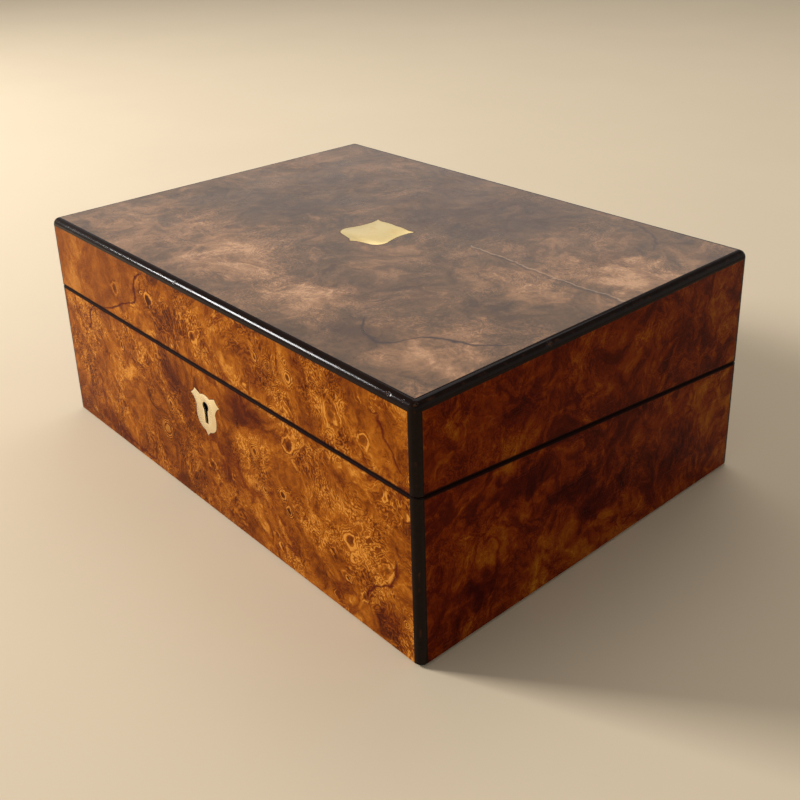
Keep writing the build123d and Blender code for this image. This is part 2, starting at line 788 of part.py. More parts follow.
def make_collars():
    # Brass collars round the necks, each with two ears that a hinge pin is riveted into
    pieces = []
    ear_reach = cap_knuckle_length / 2 + collar_ear
    room = cap_knuckle_length / 2 + knuckle_gap
    round_room = cap_knuckle + fit_gap
    neck_half = inkwell_neck_side / 2 + running_gap
    y0, y1 = well_middle_y - collar_half, well_middle_y + collar_half
    for x in (-well_middle_x, well_middle_x):
        collar = block(x - collar_half, x + collar_half, y0, y1, shoulder_z + collar_gap, neck_top)
        bracket = block(
            x - ear_reach, x + ear_reach, cap_axis_y, y0, cap_axis_z - cap_knuckle, neck_top - collar_gap
        )
        ears = rod(cap_knuckle, x - ear_reach, x + ear_reach, cap_axis_y, cap_axis_z)
        neck_room = block(
            x - neck_half, x + neck_half, well_middle_y - neck_half, well_middle_y + neck_half,
            inkwell_foot, neck_top + cut_over,
        )
        gap = block(
            x - room, x + room, cap_axis_y - round_room, y0,
            cap_axis_z - round_room, cap_axis_z + round_room,
        )
        pin = rod(cap_pin, x - room, x + room, cap_axis_y, cap_axis_z)
        pieces.append(collar + bracket + ears - gap - neck_room + pin)
    parts["inkwell_collars"] = union_apart(pieces)


def make_cap(x, name):
    # A square brass cap with a bevelled top, which turns on the collar's pin
    low = cap_axis_z + cap_gap
    half = cap_side / 2
    cap = block(x - half, x + half, well_middle_y - half, well_middle_y + half, low, low + cap_height)
    cap = chamfer(cap.edges().group_by(Axis.Z)[-1], cap_bevel)
    inner = half - cap_rim
    y0, y1 = well_middle_y - inner, well_middle_y + inner
    recess = block(x - inner, x + inner, y0, y1, low - cut_over, low + cap_recess)
    half = cap_knuckle_length / 2
    tongue = block(x - half, x + half, cap_axis_y, y0, low, low + cap_knuckle)
    barrel = rod(cap_knuckle, x - half, x + half, cap_axis_y, cap_axis_z)
    bore = rod(cap_pin + running_gap, x - half - cut_over, x + half + cut_over, cap_axis_y, cap_axis_z)
    parts[name] = cap - recess + tongue + barrel - bore


def make_catch():
    # A flush slide bolt in the lid flap's free edge, which shoots under the link plate; at rest it is back
    edge = flap_reach[LID]
    top = flap_sink
    past = edge + cut_over
    gap = catch_gap
    half_plate = catch_plate_width / 2
    half_bolt = catch_bolt_width / 2
    plate_start = edge - catch_plate_length
    under_plate = half_gap + link_plate_thickness
    plate = rim_block(LID, -half_plate, half_plate, plate_start, edge, top, under_plate)
    stud_u = edge - catch_plate_length / 2 - catch_travel / 2
    room = catch_stud_radius + fit_gap
    window = rim_block(
        LID, -room, room, stud_u - room, stud_u + catch_travel + room, 0, under_plate + cut_over
    )
    bolt_top = under_plate + gap
    bolt_under = bolt_top + catch_bolt_thick
    bolt_front_u = edge - catch_edge_gap
    bolt_back_u = bolt_front_u - catch_bolt_length
    bolt = rim_block(LID, -half_bolt, half_bolt, bolt_back_u, bolt_front_u, bolt_top, bolt_under)
    stud_top, stud_foot = top + gap, bolt_top + catch_stud_root
    y, z = on_rim(stud_u, (stud_top + stud_foot) / 2, LID)
    stud = Pos(0, y, z) * Rot(-math.degrees(slope), 0, 0) * Cylinder(catch_stud_radius, stud_foot - stud_top)
    parts["lid_flap_catch_plate"] = plate - window
    parts["lid_flap_catch_bolt"] = bolt + stud
    plate_room = rim_block(LID, -half_plate, half_plate, plate_start, past, 0, under_plate)
    wide = half_bolt + gap
    channel = rim_block(LID, -wide, wide, bolt_back_u - gap, past, top, bolt_under + gap)
    cut("lid_flap_board", [plate_room, channel])
    wide = half_plate + gap
    cut("lid_flap_leather", [rim_block(LID, -wide, wide, bolt_back_u - gap, past, 0, bolt_under)])
    wide = half_bolt + 2 * gap
    keeper = rim_block(
        LID, -wide, wide, edge, edge + catch_travel + cut_over, bolt_top - 2 * gap, bolt_under + 2 * gap
    )
    cut("lid_front_board", [keeper])
    cut("lid_rim_facings", [keeper])


def cut(name, tools):
    # Take the same tools out of a node, solid by solid
    shape = parts[name]
    for tool in tools:
        shape = shape - tool
    parts[name] = shape


def let_in_fittings(link_room):
    # Rebates and holes for the hinges, lock, staples, screws and escutcheon
    notches = knuckle_notches()
    centres = (-hinge_spacing / 2, hinge_spacing / 2)
    for side, name in ((BASE, "base"), (LID, "lid")):
        leaves = [leaf_blank(x, side, cut_over) for x in centres]
        holes = [spot * screw_hole() for spot in hinge_screw_spots(side)]
        cut(f"{name}_rim_facings", notches + leaves + holes)
        cut(f"{name}_back_board", notches + leaves + holes)
        cut(f"{name}_back_veneer", notches)
    lock_holes = [spot * screw_hole() for spot in plate_screw_spots(BASE, lock_screw_spacing)]
    wide = lock_half + inlay_gap
    pocket = block(
        -wide, wide, cap_front - inlay_gap, inner_front + cut_over, lock_bottom - inlay_gap, box_height
    )
    top_room = selvedge_blank(inlay_gap, cut_over)
    keyway = keyhole_cutter(front - cut_over, cap_front, fit_gap)
    cut("base_front_board", [pocket, top_room, keyway] + lock_holes)
    cut("base_rim_facings", [pocket, top_room] + lock_holes)
    cut("base_front_veneer", [escutcheon_blank()])
    keyhole = keyhole_cutter(front - cut_over, front + veneer + cut_over)
    parts["lock_escutcheon"] = escutcheon_blank() - keyhole
    link_holes = [spot * screw_hole() for spot in plate_screw_spots(LID, link_screw_spacing)]
    cut("lid_rim_facings", [link_room] + link_holes)
    cut("lid_front_board", [link_room] + link_holes)


def make_screws():
    # The screws of the hinges, the lock and the link plate
    base_spots = hinge_screw_spots(BASE) + plate_screw_spots(BASE, lock_screw_spacing)
    lid_spots = hinge_screw_spots(LID) + plate_screw_spots(LID, link_screw_spacing)
    parts["base_screws"] = union_apart([spot * screw() for spot in base_spots])
    parts["lid_screws"] = union_apart([spot * screw() for spot in lid_spots])


def build():
    case = outer_case()
    base_case = half_case(case, BASE)
    lid_case = half_case(case, LID)
    make_walls(base_case, BASE)
    make_walls(lid_case, LID)
    make_bottom()
    make_top(lid_case)
    make_hinges()
    make_lock()
    make_lock_bolt()
    link_room = make_link_plate()
    let_in_fittings(link_room)
    for side, name in ((BASE, "base"), (LID, "lid")):
        make_flap(side, name)
        make_ledges(side, name)
    make_strip()
    make_inkwell(-well_middle_x, "inkwell_left")
    make_inkwell(well_middle_x, "inkwell_right")
    make_collars()
    make_cap(-well_middle_x, "inkwell_cap_left")
    make_cap(well_middle_x, "inkwell_cap_right")
    make_catch()
    make_screws()


build()
os.makedirs("parts", exist_ok=True)
for name, shape in parts.items():
    export_step(shape, f"parts/{name}.step")
print(len(parts), "nodes written")
print("hinge axis y, z", round(hinge_y, 3), round(hinge_z, 3))
for side, name in ((BASE, "base"), (LID, "lid")):
    y, z = on_rim(flap_axis_u, flap_axis_d, side)
    print(name, "flap axis y, z", round(y, 4), round(z, 4))
print("cap axis x, y, z", round(well_middle_x, 3), round(cap_axis_y, 3), round(cap_axis_z, 3))
print("slope in degrees", round(math.degrees(slope), 4))
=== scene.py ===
import json
import math

import bpy
from mathutils import Matrix, Vector

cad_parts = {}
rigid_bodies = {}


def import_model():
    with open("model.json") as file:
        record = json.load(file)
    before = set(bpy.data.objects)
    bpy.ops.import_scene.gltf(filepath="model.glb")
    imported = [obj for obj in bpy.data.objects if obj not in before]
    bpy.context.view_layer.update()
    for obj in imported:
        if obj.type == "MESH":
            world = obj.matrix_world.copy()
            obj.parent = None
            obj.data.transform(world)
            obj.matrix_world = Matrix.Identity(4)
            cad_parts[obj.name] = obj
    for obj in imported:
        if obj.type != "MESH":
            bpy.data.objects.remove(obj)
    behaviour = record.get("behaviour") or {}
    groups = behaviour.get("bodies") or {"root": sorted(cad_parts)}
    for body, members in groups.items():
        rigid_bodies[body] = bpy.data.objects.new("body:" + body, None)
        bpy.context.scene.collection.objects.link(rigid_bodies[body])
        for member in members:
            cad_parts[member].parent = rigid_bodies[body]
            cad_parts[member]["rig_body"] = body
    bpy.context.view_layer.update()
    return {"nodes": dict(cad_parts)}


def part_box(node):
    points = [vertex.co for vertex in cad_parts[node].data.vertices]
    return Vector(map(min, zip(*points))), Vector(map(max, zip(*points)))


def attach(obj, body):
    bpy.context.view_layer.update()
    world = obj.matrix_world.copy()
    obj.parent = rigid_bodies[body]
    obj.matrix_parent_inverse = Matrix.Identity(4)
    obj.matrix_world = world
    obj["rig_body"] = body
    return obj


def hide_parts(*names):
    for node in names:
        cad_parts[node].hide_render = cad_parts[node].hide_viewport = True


# Travelling writing box: burr walnut, black edging and brass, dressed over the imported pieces
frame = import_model()
nodes = frame["nodes"]
print("frame loaded with", len(nodes), "nodes")

# The shut line falls from front to back and passes through the hinges' axis
shutLine = {"fall": 0.022, "run": 0.24125, "hinge y": 0.119425, "hinge z": 0.066}
rimSlope = math.atan2(shutLine["fall"], shutLine["run"])
rimNormal = Vector((0, math.sin(rimSlope), math.cos(rimSlope)))


def addObject(name, data):
    thing = bpy.data.objects.new(name, data)
    bpy.context.scene.collection.objects.link(thing)
    return thing


def facing(direction):
    # The turn that points Z along a direction
    return direction.to_track_quat("Z", "Y").to_matrix().to_4x4()


# Camera, at the photographer's place
cameraView = {
    "place": (0.4362, -0.3626, 0.3338),
    "azimuth": 49.02,
    "elevation": 21.978,
    "roll": -1.767,
    "lens": 47.295,
    "sensor": 36.0,
    "shiftY": -0.15625,
}


def makeCamera(view):
    data = bpy.data.cameras.new("viewCamera")
    data.sensor_width = view["sensor"]
    data.lens = view["lens"]
    data.shift_y = view["shiftY"]
    camera = addObject("viewCamera", data)
    a, e, r = (math.radians(view[key]) for key in ("azimuth", "elevation", "roll"))
    back = Vector((math.sin(a) * math.cos(e), -math.cos(a) * math.cos(e), math.sin(e)))
    level = Vector((math.cos(a), math.sin(a), 0))
    upright = back.cross(level)
    right = level * math.cos(r) + upright * math.sin(r)
    up = upright * math.cos(r) - level * math.sin(r)
    turn = Matrix((right, up, back)).transposed().to_4x4()
    camera.matrix_world = Matrix.Translation(view["place"]) @ turn
    bpy.context.scene.camera = camera


makeCamera(cameraView)
bpy.context.scene.view_settings.view_transform = "Standard"
print("camera set")


# Small helpers for shader trees
def paint(red, green, blue):
    # A display colour from 0 to 255 as the shader's linear colour
    def linear(value):
        share = value / 255
        return share / 12.92 if share < 0.04045 else ((share + 0.055) / 1.055) ** 2.4
    return (linear(red), linear(green), linear(blue), 1.0)


def feed(tree, value, socket):
    if isinstance(value, bpy.types.NodeSocket):
        tree.links.new(value, socket)
    elif value is not None:
        socket.default_value = value


def put(tree, kind, values=None, **settings):
    node = tree.nodes.new(kind)
    for key, value in settings.items():
        setattr(node, key, value)
    for key, value in (values or {}).items():
        feed(tree, value, node.inputs[key])
    return node


def calc(tree, operation, *values, clamp=False):
    node = put(tree, "ShaderNodeMath", operation=operation, use_clamp=clamp)
    for socket, value in zip(node.inputs, values):
        feed(tree, value, socket)
    return node.outputs[0]


def times(tree, first, second):
    return calc(tree, "MULTIPLY", first, second)


def timesPlus(tree, first, second, third):
    # first * second + third
    return calc(tree, "MULTIPLY_ADD", first, second, third)


def minus(tree, first, second):
    return calc(tree, "SUBTRACT", first, second)


def gap(tree, first, second):
    # How far apart two values are
    return calc(tree, "ABSOLUTE", minus(tree, first, second))


def largest(tree, *values):
    total = values[0]
    for value in values[1:]:
        total = calc(tree, "MAXIMUM", total, value)
    return total


def vec(tree, operation, *values):
    node = put(tree, "ShaderNodeVectorMath", operation=operation)
    for socket, value in zip(node.inputs, values):
        feed(tree, value, socket)
    return node.outputs["Value" if operation == "LENGTH" else "Vector"]


def scaled(tree, vector, amount):
    node = put(tree, "ShaderNodeVectorMath", {"Scale": amount}, operation="SCALE")
    feed(tree, vector, node.inputs[0])
    return node.outputs["Vector"]


def rotated(tree, vector, turn):
    return put(tree, "ShaderNodeMapping", {"Vector": vector, "Rotation": turn}).outputs[0]


def parted(tree, vector):
    return put(tree, "ShaderNodeSeparateXYZ", {"Vector": vector}).outputs


def ease(tree, value, low, high, start=0.0, end=1.0):
    # A soft step from start at low to end at high
    values = {"Value": value, "From Min": low, "From Max": high, "To Min": start, "To Max": end}
    return put(tree, "ShaderNodeMapRange", values, interpolation_type="SMOOTHSTEP").outputs["Result"]


def fade(tree, value, low, high):
    return ease(tree, value, low, high, 1.0, 0.0)


def noiseNode(tree, vector, settings):
    node = put(tree, "ShaderNodeTexNoise", {"Vector": vector})
    for label, value in zip(("Scale", "Detail", "Roughness", "Distortion"), settings):
        node.inputs[label].default_value = value
    return node


def noise(tree, vector, *settings):
    # One noise, with its scale, detail, roughness and distortion
    return noiseNode(tree, vector, settings).outputs[0]


def stretched(tree, vector, scales, *settings):
    # A noise with its own scale along each axis
    return noise(tree, vec(tree, "MULTIPLY", vector, scales), 1.0, *settings)


def wobble(tree, amount, vector, *settings):
    # A vector that sways to all sides by up to half the amount
    sway = noiseNode(tree, vector, settings).outputs["Color"]
    return scaled(tree, vec(tree, "SUBTRACT", sway, (0.5, 0.5, 0.5)), amount)


def blend(tree, factor, first, second):
    node = put(tree, "ShaderNodeMix", data_type="RGBA")
    for index, value in ((0, factor), (6, first), (7, second)):
        feed(tree, value, node.inputs[index])
    return node.outputs[2]


def ramp(tree, value, stops):
    node = put(tree, "ShaderNodeValToRGB")
    feed(tree, value, node.inputs[0])
    while len(node.color_ramp.elements) < len(stops):
        node.color_ramp.elements.new(0.5)
    for element, (place, colour) in zip(node.color_ramp.elements, stops):
        element.position = place
        element.color = colour
    return node.outputs["Color"]


def cellShare(tree, cells, channel):
    # A number from 0 to 1 that is the same all over one cell
    return put(tree, "ShaderNodeSeparateColor", {"Color": cells.outputs["Color"]}).outputs[channel]


def bumped(tree, height, distance, strength, normal=None):
    values = {"Height": height, "Distance": distance, "Strength": strength, "Normal": normal}
    return put(tree, "ShaderNodeBump", values).outputs["Normal"]


def newGroup(name, inputs, outputs):
    # A node group; an input without a value is a vector, and all else are numbers
    tree = bpy.data.node_groups.new(name, "ShaderNodeTree")
    for label, value in inputs.items():
        kind = "NodeSocketVector" if value is None else "NodeSocketFloat"
        socket = tree.interface.new_socket(label, in_out="INPUT", socket_type=kind)
        if value is not None:
            socket.default_value = value
    for label in outputs:
        tree.interface.new_socket(label, in_out="OUTPUT", socket_type="NodeSocketFloat")
    source = tree.nodes.new("NodeGroupInput").outputs
    result = tree.nodes.new("NodeGroupOutput").inputs
    return tree, source, result


def useGroup(tree, group, **values):
    return put(tree, "ShaderNodeGroup", values, node_tree=group).outputs


def newMaterial(name, **settings):
    # A material with its Principled shader, whose plain values are set here
    material = bpy.data.materials.new(name)
    material.use_nodes = True
    tree = material.node_tree
    shader = tree.nodes["Principled BSDF"]
    for label, value in settings.items():
        shader.inputs[label.replace("_", " ")].default_value = value
    place = tree.nodes.new("ShaderNodeTexCoord").outputs["Object"]
    return material, tree, shader.inputs, place


def coat(tree, shader, colour, rough, normal):
    for label, value in (("Base Color", colour), ("Roughness", rough), ("Normal", normal)):
        feed(tree, value, shader[label])


# Shared effects
def makeSpotGroup():
    # A soft spot round a centre, 1 in its middle and 0 at its edge
    tree, source, result = newGroup("softSpot", {"Place": None, "Centre": None, "Reach": None}, ["Mask"])
    away = vec(tree, "SUBTRACT", source["Place"], source["Centre"])
    share = vec(tree, "LENGTH", vec(tree, "DIVIDE", away, source["Reach"]))
    feed(tree, fade(tree, share, 0.15, 1.0), result["Mask"])
    return tree


burrShape = {
    "curl": 0.010,
    "drift": 0.05,
    "cells": 92.0,
    "knot edge": 0.55,
    "calm": -0.9,
    "lines": 170.0,
    "rings": 17.0,
    "fine lines": 0.13,
    "line level": 0.42,
    "knot lines": 1.4,
    "halo": 0.2,
    "laid dot": 0.5,
    "curl tone": 0.4,
    "mottle tone": 0.32,
    "cloud tone": 0.28,
}


def makeBurrGroup(values):
    # The burr: curly grain round clusters of small ringed knots
    tree, source, result = newGroup(
        "burrFigure", {"Place": None, "Shift": None, "Knots": 0.6, "Lift": 0.0},
        ["Tone", "Line", "Knot", "Red", "Patch"],
    )
    place = vec(tree, "ADD", source["Place"], source["Shift"])
    loose = vec(tree, "ADD", place, wobble(tree, values["curl"], place, 70, 3, 0.6))
    bent = vec(tree, "ADD", loose, wobble(tree, values["drift"], place, 15, 2))
    cells = put(tree, "ShaderNodeTexVoronoi", {"Vector": loose, "Scale": values["cells"]})
    distance = cells.outputs["Distance"]
    cluster = ease(tree, noise(tree, place, 19, 2), 0.44, 0.56)
    there = times(tree, ease(tree, cellShare(tree, cells, 0), 0.35, 0.5), cluster)
    there = times(tree, there, source["Knots"])
    rise = times(tree, fade(tree, distance, 0.0, values["knot edge"]), there)
    rise = largest(tree, rise, source["Lift"])
    # Grain lines, which turn into rings where a knot rises
    flow = minus(tree, noise(tree, bent, 27, 5, 0.62), 0.5)
    calm = timesPlus(tree, rise, values["calm"], 1.0)
    phase = times(tree, times(tree, flow, values["lines"]), calm)
    phase = timesPlus(tree, rise, values["rings"], phase)
    wave = timesPlus(tree, calc(tree, "SINE", phase), 0.5, 0.5)
    fine = calc(tree, "SINE", timesPlus(tree, phase, 2.3, times(tree, distance, 9.0)))
    line = timesPlus(tree, fine, values["fine lines"], calc(tree, "POWER", wave, 1.5))
    strong = ease(tree, noise(tree, place, 34, 4, 0.6), 0.4, 0.62, 0.1, 0.75)
    strong = calc(tree, "MAXIMUM", strong, times(tree, rise, values["knot lines"]), clamp=True)
    line = times(tree, minus(tree, line, values["line level"]), strong)
    halo = times(tree, ease(tree, rise, 0.45, 0.7), fade(tree, rise, 0.86, 0.97))
    feed(tree, timesPlus(tree, halo, values["halo"], line), result["Line"])
    # Clouds of light and dark, knot hearts, red flames and the patchy edge of the spots
    curls = noise(tree, bent, 88, 6, 0.62, 1.1)
    mottle = noise(tree, bent, 32, 5, 0.6, 0.6)
    tone = timesPlus(tree, curls, values["curl tone"], times(tree, mottle, values["mottle tone"]))
    tone = timesPlus(tree, noise(tree, bent, 11, 3), values["cloud tone"], tone)
    feed(tree, ease(tree, tone, 0.33, 0.67), result["Tone"])
    dot = times(tree, fade(tree, distance, 0.03, 0.12), there)
    laid = times(tree, ease(tree, source["Lift"], 0.985, 1.0), values["laid dot"])
    feed(tree, largest(tree, dot, laid), result["Knot"])
    flame = ease(tree, noise(tree, bent, 21, 6, 0.66, 0.8), 0.52, 0.64)
    feed(tree, times(tree, flame, ease(tree, curls, 0.56, 0.42)), result["Red"])
    feed(tree, noise(tree, place, 24, 4, 0.6), result["Patch"])
    return tree


def makePolishGroup():
    # Old french polish: fine rubbing marks, smears and a slightly uneven skin
    tree, source, result = newGroup("polishMarks", {"Place": None}, ["Smear", "Scratch", "Skin"])
    place = source["Place"]
    turned = rotated(tree, place, (0.5, 0.4, 0.7))
    hair = ease(tree, stretched(tree, turned, (60.0, 2600.0, 900.0), 1), 0.66, 0.74)
    cross = ease(tree, stretched(tree, place, (1900.0, 45.0, 1400.0), 1), 0.69, 0.77)
    feed(tree, noise(tree, place, 30, 5, 0.6), result["Smear"])
    feed(tree, largest(tree, hair, cross), result["Scratch"])
    feed(tree, noise(tree, place, 90, 2), result["Skin"])
    return tree


def makeGrainGroup():
    # Straight-grained timber, with the grain along the X of the vector it is given
    tree, source, result = newGroup(
        "straightGrain", {"Place": None, "Wander": 0.012}, ["Tone", "Streak", "Pore"],
    )
    slow = vec(tree, "MULTIPLY", source["Place"], (5.0, 14.0, 14.0))
    sway = vec(tree, "MULTIPLY", wobble(tree, source["Wander"], slow, 1.0, 2), (0.0, 1.0, 1.0))
    bent = vec(tree, "ADD", source["Place"], sway)
    band = stretched(tree, bent, (2.0, 70.0, 70.0), 3, 0.6)
    streak = stretched(tree, bent, (14.0, 520.0, 520.0), 3, 0.6)
    long = vec(tree, "MULTIPLY", bent, (95.0, 1250.0, 1250.0))
    cells = put(tree, "ShaderNodeTexVoronoi", {"Vector": long, "Scale": 1.0})
    pore = fade(tree, cells.outputs["Distance"], 0.12, 0.3)
    pore = times(tree, pore, ease(tree, cellShare(tree, cells, 1), 0.45, 0.6))
    feed(tree, ease(tree, band, 0.3, 0.7), result["Tone"])
    feed(tree, ease(tree, streak, 0.3, 0.7), result["Streak"])
    feed(tree, pore, result["Pore"])
    return tree


def makeHandledGroup():
    # Metal that has been handled: tarnish in clouds, rubbing marks and fine dents
    tree, source, result = newGroup("handledMetal", {"Place": None}, ["Tarnish", "Scratch", "Dent"])
    place = source["Place"]
    turned = rotated(tree, place, (0.3, 0.2, 1.1))
    rub = ease(tree, stretched(tree, place, (700.0, 5200.0, 5200.0), 2), 0.62, 0.75)
    odd = ease(tree, stretched(tree, turned, (300.0, 6000.0, 3000.0), 1), 0.66, 0.74)
    feed(tree, ease(tree, noise(tree, place, 110, 6, 0.65), 0.42, 0.72), result["Tarnish"])
    feed(tree, largest(tree, rub, odd), result["Scratch"])
    feed(tree, noise(tree, place, 420, 2), result["Dent"])
    return tree


def makeCrownGroup():
    # The rubbed crown of the box's rounded outer arrises
    tree, source, result = newGroup(
        "rubbedCrown", {"Place": None, "Centre": None, "Half": None, "Round": 0.004}, ["Mask"],
    )
    away = vec(tree, "ABSOLUTE", vec(tree, "SUBTRACT", source["Place"], source["Centre"]))
    shares = []
    for part in parted(tree, vec(tree, "SUBTRACT", away, source["Half"])):
        part = calc(tree, "DIVIDE", part, source["Round"])
        shares.append(calc(tree, "ADD", part, 1.0, clamp=True))
    pairs = [calc(tree, "MINIMUM", shares[i - 1], shares[i]) for i in range(3)]
    crown = ease(tree, largest(tree, *pairs), 0.5, 0.7)
    patchy = ease(tree, noise(tree, source["Place"], 130, 5, 0.7), 0.5, 0.68)
    feed(tree, times(tree, crown, patchy), result["Mask"])
    return tree


shutLineDarkening = {"full": 0.0011, "none": 0.0022, "ragged": 0.0003}


def makeShutLineGroup(values):
    # A dark, rougher line painted along the arrises where the two halves meet
    tree, source, result = newGroup("paintedShutLine", {"Place": None}, ["Mask"])
    sockets = parted(tree, source["Place"])
    drop = timesPlus(tree, sockets[1], math.tan(rimSlope), sockets[2])
    off = gap(tree, drop, shutLine["hinge z"] + shutLine["hinge y"] * math.tan(rimSlope))
    off = timesPlus(tree, noise(tree, source["Place"], 300, 2), values["ragged"], off)
    feed(tree, fade(tree, off, values["full"], values["none"]), result["Mask"])
    return tree


keyholeShadeSpot = {"centre": (0.0, -0.1165, 0.0635), "reach": (0.0075, 0.012, 0.0125), "colour": paint(10, 6, 5)}


def shadedRoundKeyhole(tree, place, colour):
    # Painted shade round the keyhole: the lock's insides behind its escutcheon are darkened
    mask = useGroup(tree, softSpot, Place=place, Centre=keyholeShadeSpot["centre"], Reach=keyholeShadeSpot["reach"])["Mask"]
    return blend(tree, ease(tree, mask, 0.0, 0.5), colour, keyholeShadeSpot["colour"])


softSpot = makeSpotGroup()
paintedShutLine = makeShutLineGroup(shutLineDarkening)
burrFigure = makeBurrGroup(burrShape)
polishMarks = makePolishGroup()
straightGrain = makeGrainGroup()
handledMetal = makeHandledGroup()
rubbedCrown = makeCrownGroup()
print("shared effects made")


# Burr walnut, toned face by face; the ends and back are darker and redder than the front, partly the wood
# and partly painted shade, and the top is greyer, partly painted reflection; a sheet's spots are rows of
# place, reach and weight on its own face
frontSheet = {
    "face": (1, -0.122),
    "shift": (0.0, 0.0, 0.0),
    "knots": 1.0,
    "contrast": 0.72,
    "cloud": 0.9,
    "ragged": 0.014,
    "shine": 0.035,
    "colours": [
        (0.0, paint(58, 17, 1)), (0.25, paint(96, 40, 2)), (0.5, paint(130, 64, 6)),
        (0.75, paint(160, 89, 16)), (1.0, paint(200, 130, 48)),
    ],
    "quiet colours": [
        (0.2, paint(96, 40, 2)), (0.45, paint(124, 60, 6)), (0.62, paint(144, 77, 14)),
        (0.85, paint(176, 110, 40)),
    ],
    "red": paint(92, 26, 4),
    "red share": 0.55,
    "vein": paint(74, 5, 3),
    "deep": paint(48, 10, 3),
    "knots laid": [
        (0.1094, 0.1058, 0.011), (0.1319, 0.102, 0.007), (0.0782, 0.112, 0.008), (0.0744, 0.0745, 0.009),
        (0.1194, 0.0445, 0.010), (0.1444, 0.042, 0.009), (-0.0506, 0.112, 0.009), (-0.0056, 0.1045, 0.007),
        (-0.0893, 0.1075, 0.009), (-0.0456, 0.034, 0.011), (0.0019, 0.031, 0.008), (-0.0381, 0.052, 0.008),
        (0.0444, 0.058, 0.007), (0.1569, 0.077, 0.006), (0.0669, 0.043, 0.007),
    ],
    "dark spots": [
        (0.052, 0.102, 0.016, 0.018, 0.8), (0.042, 0.079, 0.036, 0.016, 1.0),
        (0.095, 0.072, 0.03, 0.012, 0.6), (-0.03, 0.104, 0.022, 0.018, 0.7),
        (-0.122, 0.012, 0.022, 0.009, 1.0), (0.146, 0.015, 0.018, 0.014, 0.9),
        (-0.033, 0.075, 0.02, 0.02, 0.7), (0.022, 0.04, 0.014, 0.022, 0.6),
        (-0.105, 0.006, 0.03, 0.008, 0.7),
    ],
    "light spots": [
        (-0.15, 0.1, 0.03, 0.02, 0.5), (-0.095, 0.055, 0.035, 0.016, 0.45), (-0.13, 0.04, 0.03, 0.018, 0.5),
        (0.115, 0.047, 0.035, 0.014, 0.2), (0.01, 0.024, 0.03, 0.012, 0.2), (0.11, 0.105, 0.03, 0.016, 0.4),
    ],
    "veins": [
        {"axes": (2, 0), "width": 0.0024, "strength": 1.0, "points": [
            (0.1283, -0.0519), (0.117, -0.0644), (0.107, -0.0656), (0.0995, -0.0831), (0.0925, -0.0981),
            (0.0833, -0.1256), (0.072, -0.1294), (0.0658, -0.1369),
        ], "quiet": {
            "above": (0.084, 0.092), "edge": (-0.006, 0.001), "knots": -0.8, "lines": -0.6, "share": 0.8,
        }},
        {"axes": (2, 0), "width": 0.002, "strength": 0.9, "points": [
            (0.0145, 0.1294), (0.0245, 0.1319), (0.037, 0.1482), (0.052, 0.1519),
        ]},
        {"axes": (2, 0), "width": 0.0016, "strength": 0.8, "points": [
            (0.0945, 0.1594), (0.1045, 0.1494), (0.1208, 0.1407),
        ]},
        {"axes": (0, 2), "width": 0.002, "strength": 0.8, "points": [
            (-0.1106, 0.0158), (-0.1006, 0.007), (-0.0856, 0.0052), (-0.0631, 0.0045),
        ]},
    ],
    "gloss": 0.26,
}
# The ends: darker, redder colours, partly the wood's own tone and partly painted shade of the end away from
# the light
endSheet = {
    "face": (0, 0.165),
    "shift": (0.31, 0.17, 0.43),
    "knots": 0.35,
    "contrast": 0.25,
    "cloud": 0.85,
    "ragged": 0.03,
    "shine": 0.04,
    "colours": [
        (0.0, paint(44, 4, 0)), (0.3, paint(80, 19, 1)), (0.55, paint(110, 37, 2)),
        (0.8, paint(134, 66, 6)), (1.0, paint(156, 94, 20)),
    ],
    "red": paint(66, 5, 1),
    "red share": 0.4,
    "deep": paint(34, 3, 1),
    "dark spots": [
        (-0.06, 0.066, 0.028, 0.016, 1.0), (-0.086, 0.022, 0.02, 0.015, 0.9),
        (-0.02, 0.046, 0.034, 0.013, 0.9), (0.0, 0.03, 0.026, 0.015, 0.95), (-0.06, 0.102, 0.03, 0.016, 0.5),
        (0.036, 0.073, 0.012, 0.006, 0.9), (0.06, 0.03, 0.03, 0.02, 0.5),
    ],
    "light spots": [
        (0.012, 0.05, 0.02, 0.01, 0.5), (0.02, 0.115, 0.04, 0.012, 0.4), (-0.095, 0.112, 0.024, 0.016, 1.0),
        (-0.075, 0.038, 0.03, 0.008, 0.5), (0.1, 0.112, 0.02, 0.016, 0.5), (-0.1, 0.05, 0.018, 0.04, 0.6),
        (0.06, 0.05, 0.04, 0.02, 0.7), (-0.04, 0.012, 0.05, 0.014, 1.0),
    ],
    "gloss": 0.24,
}
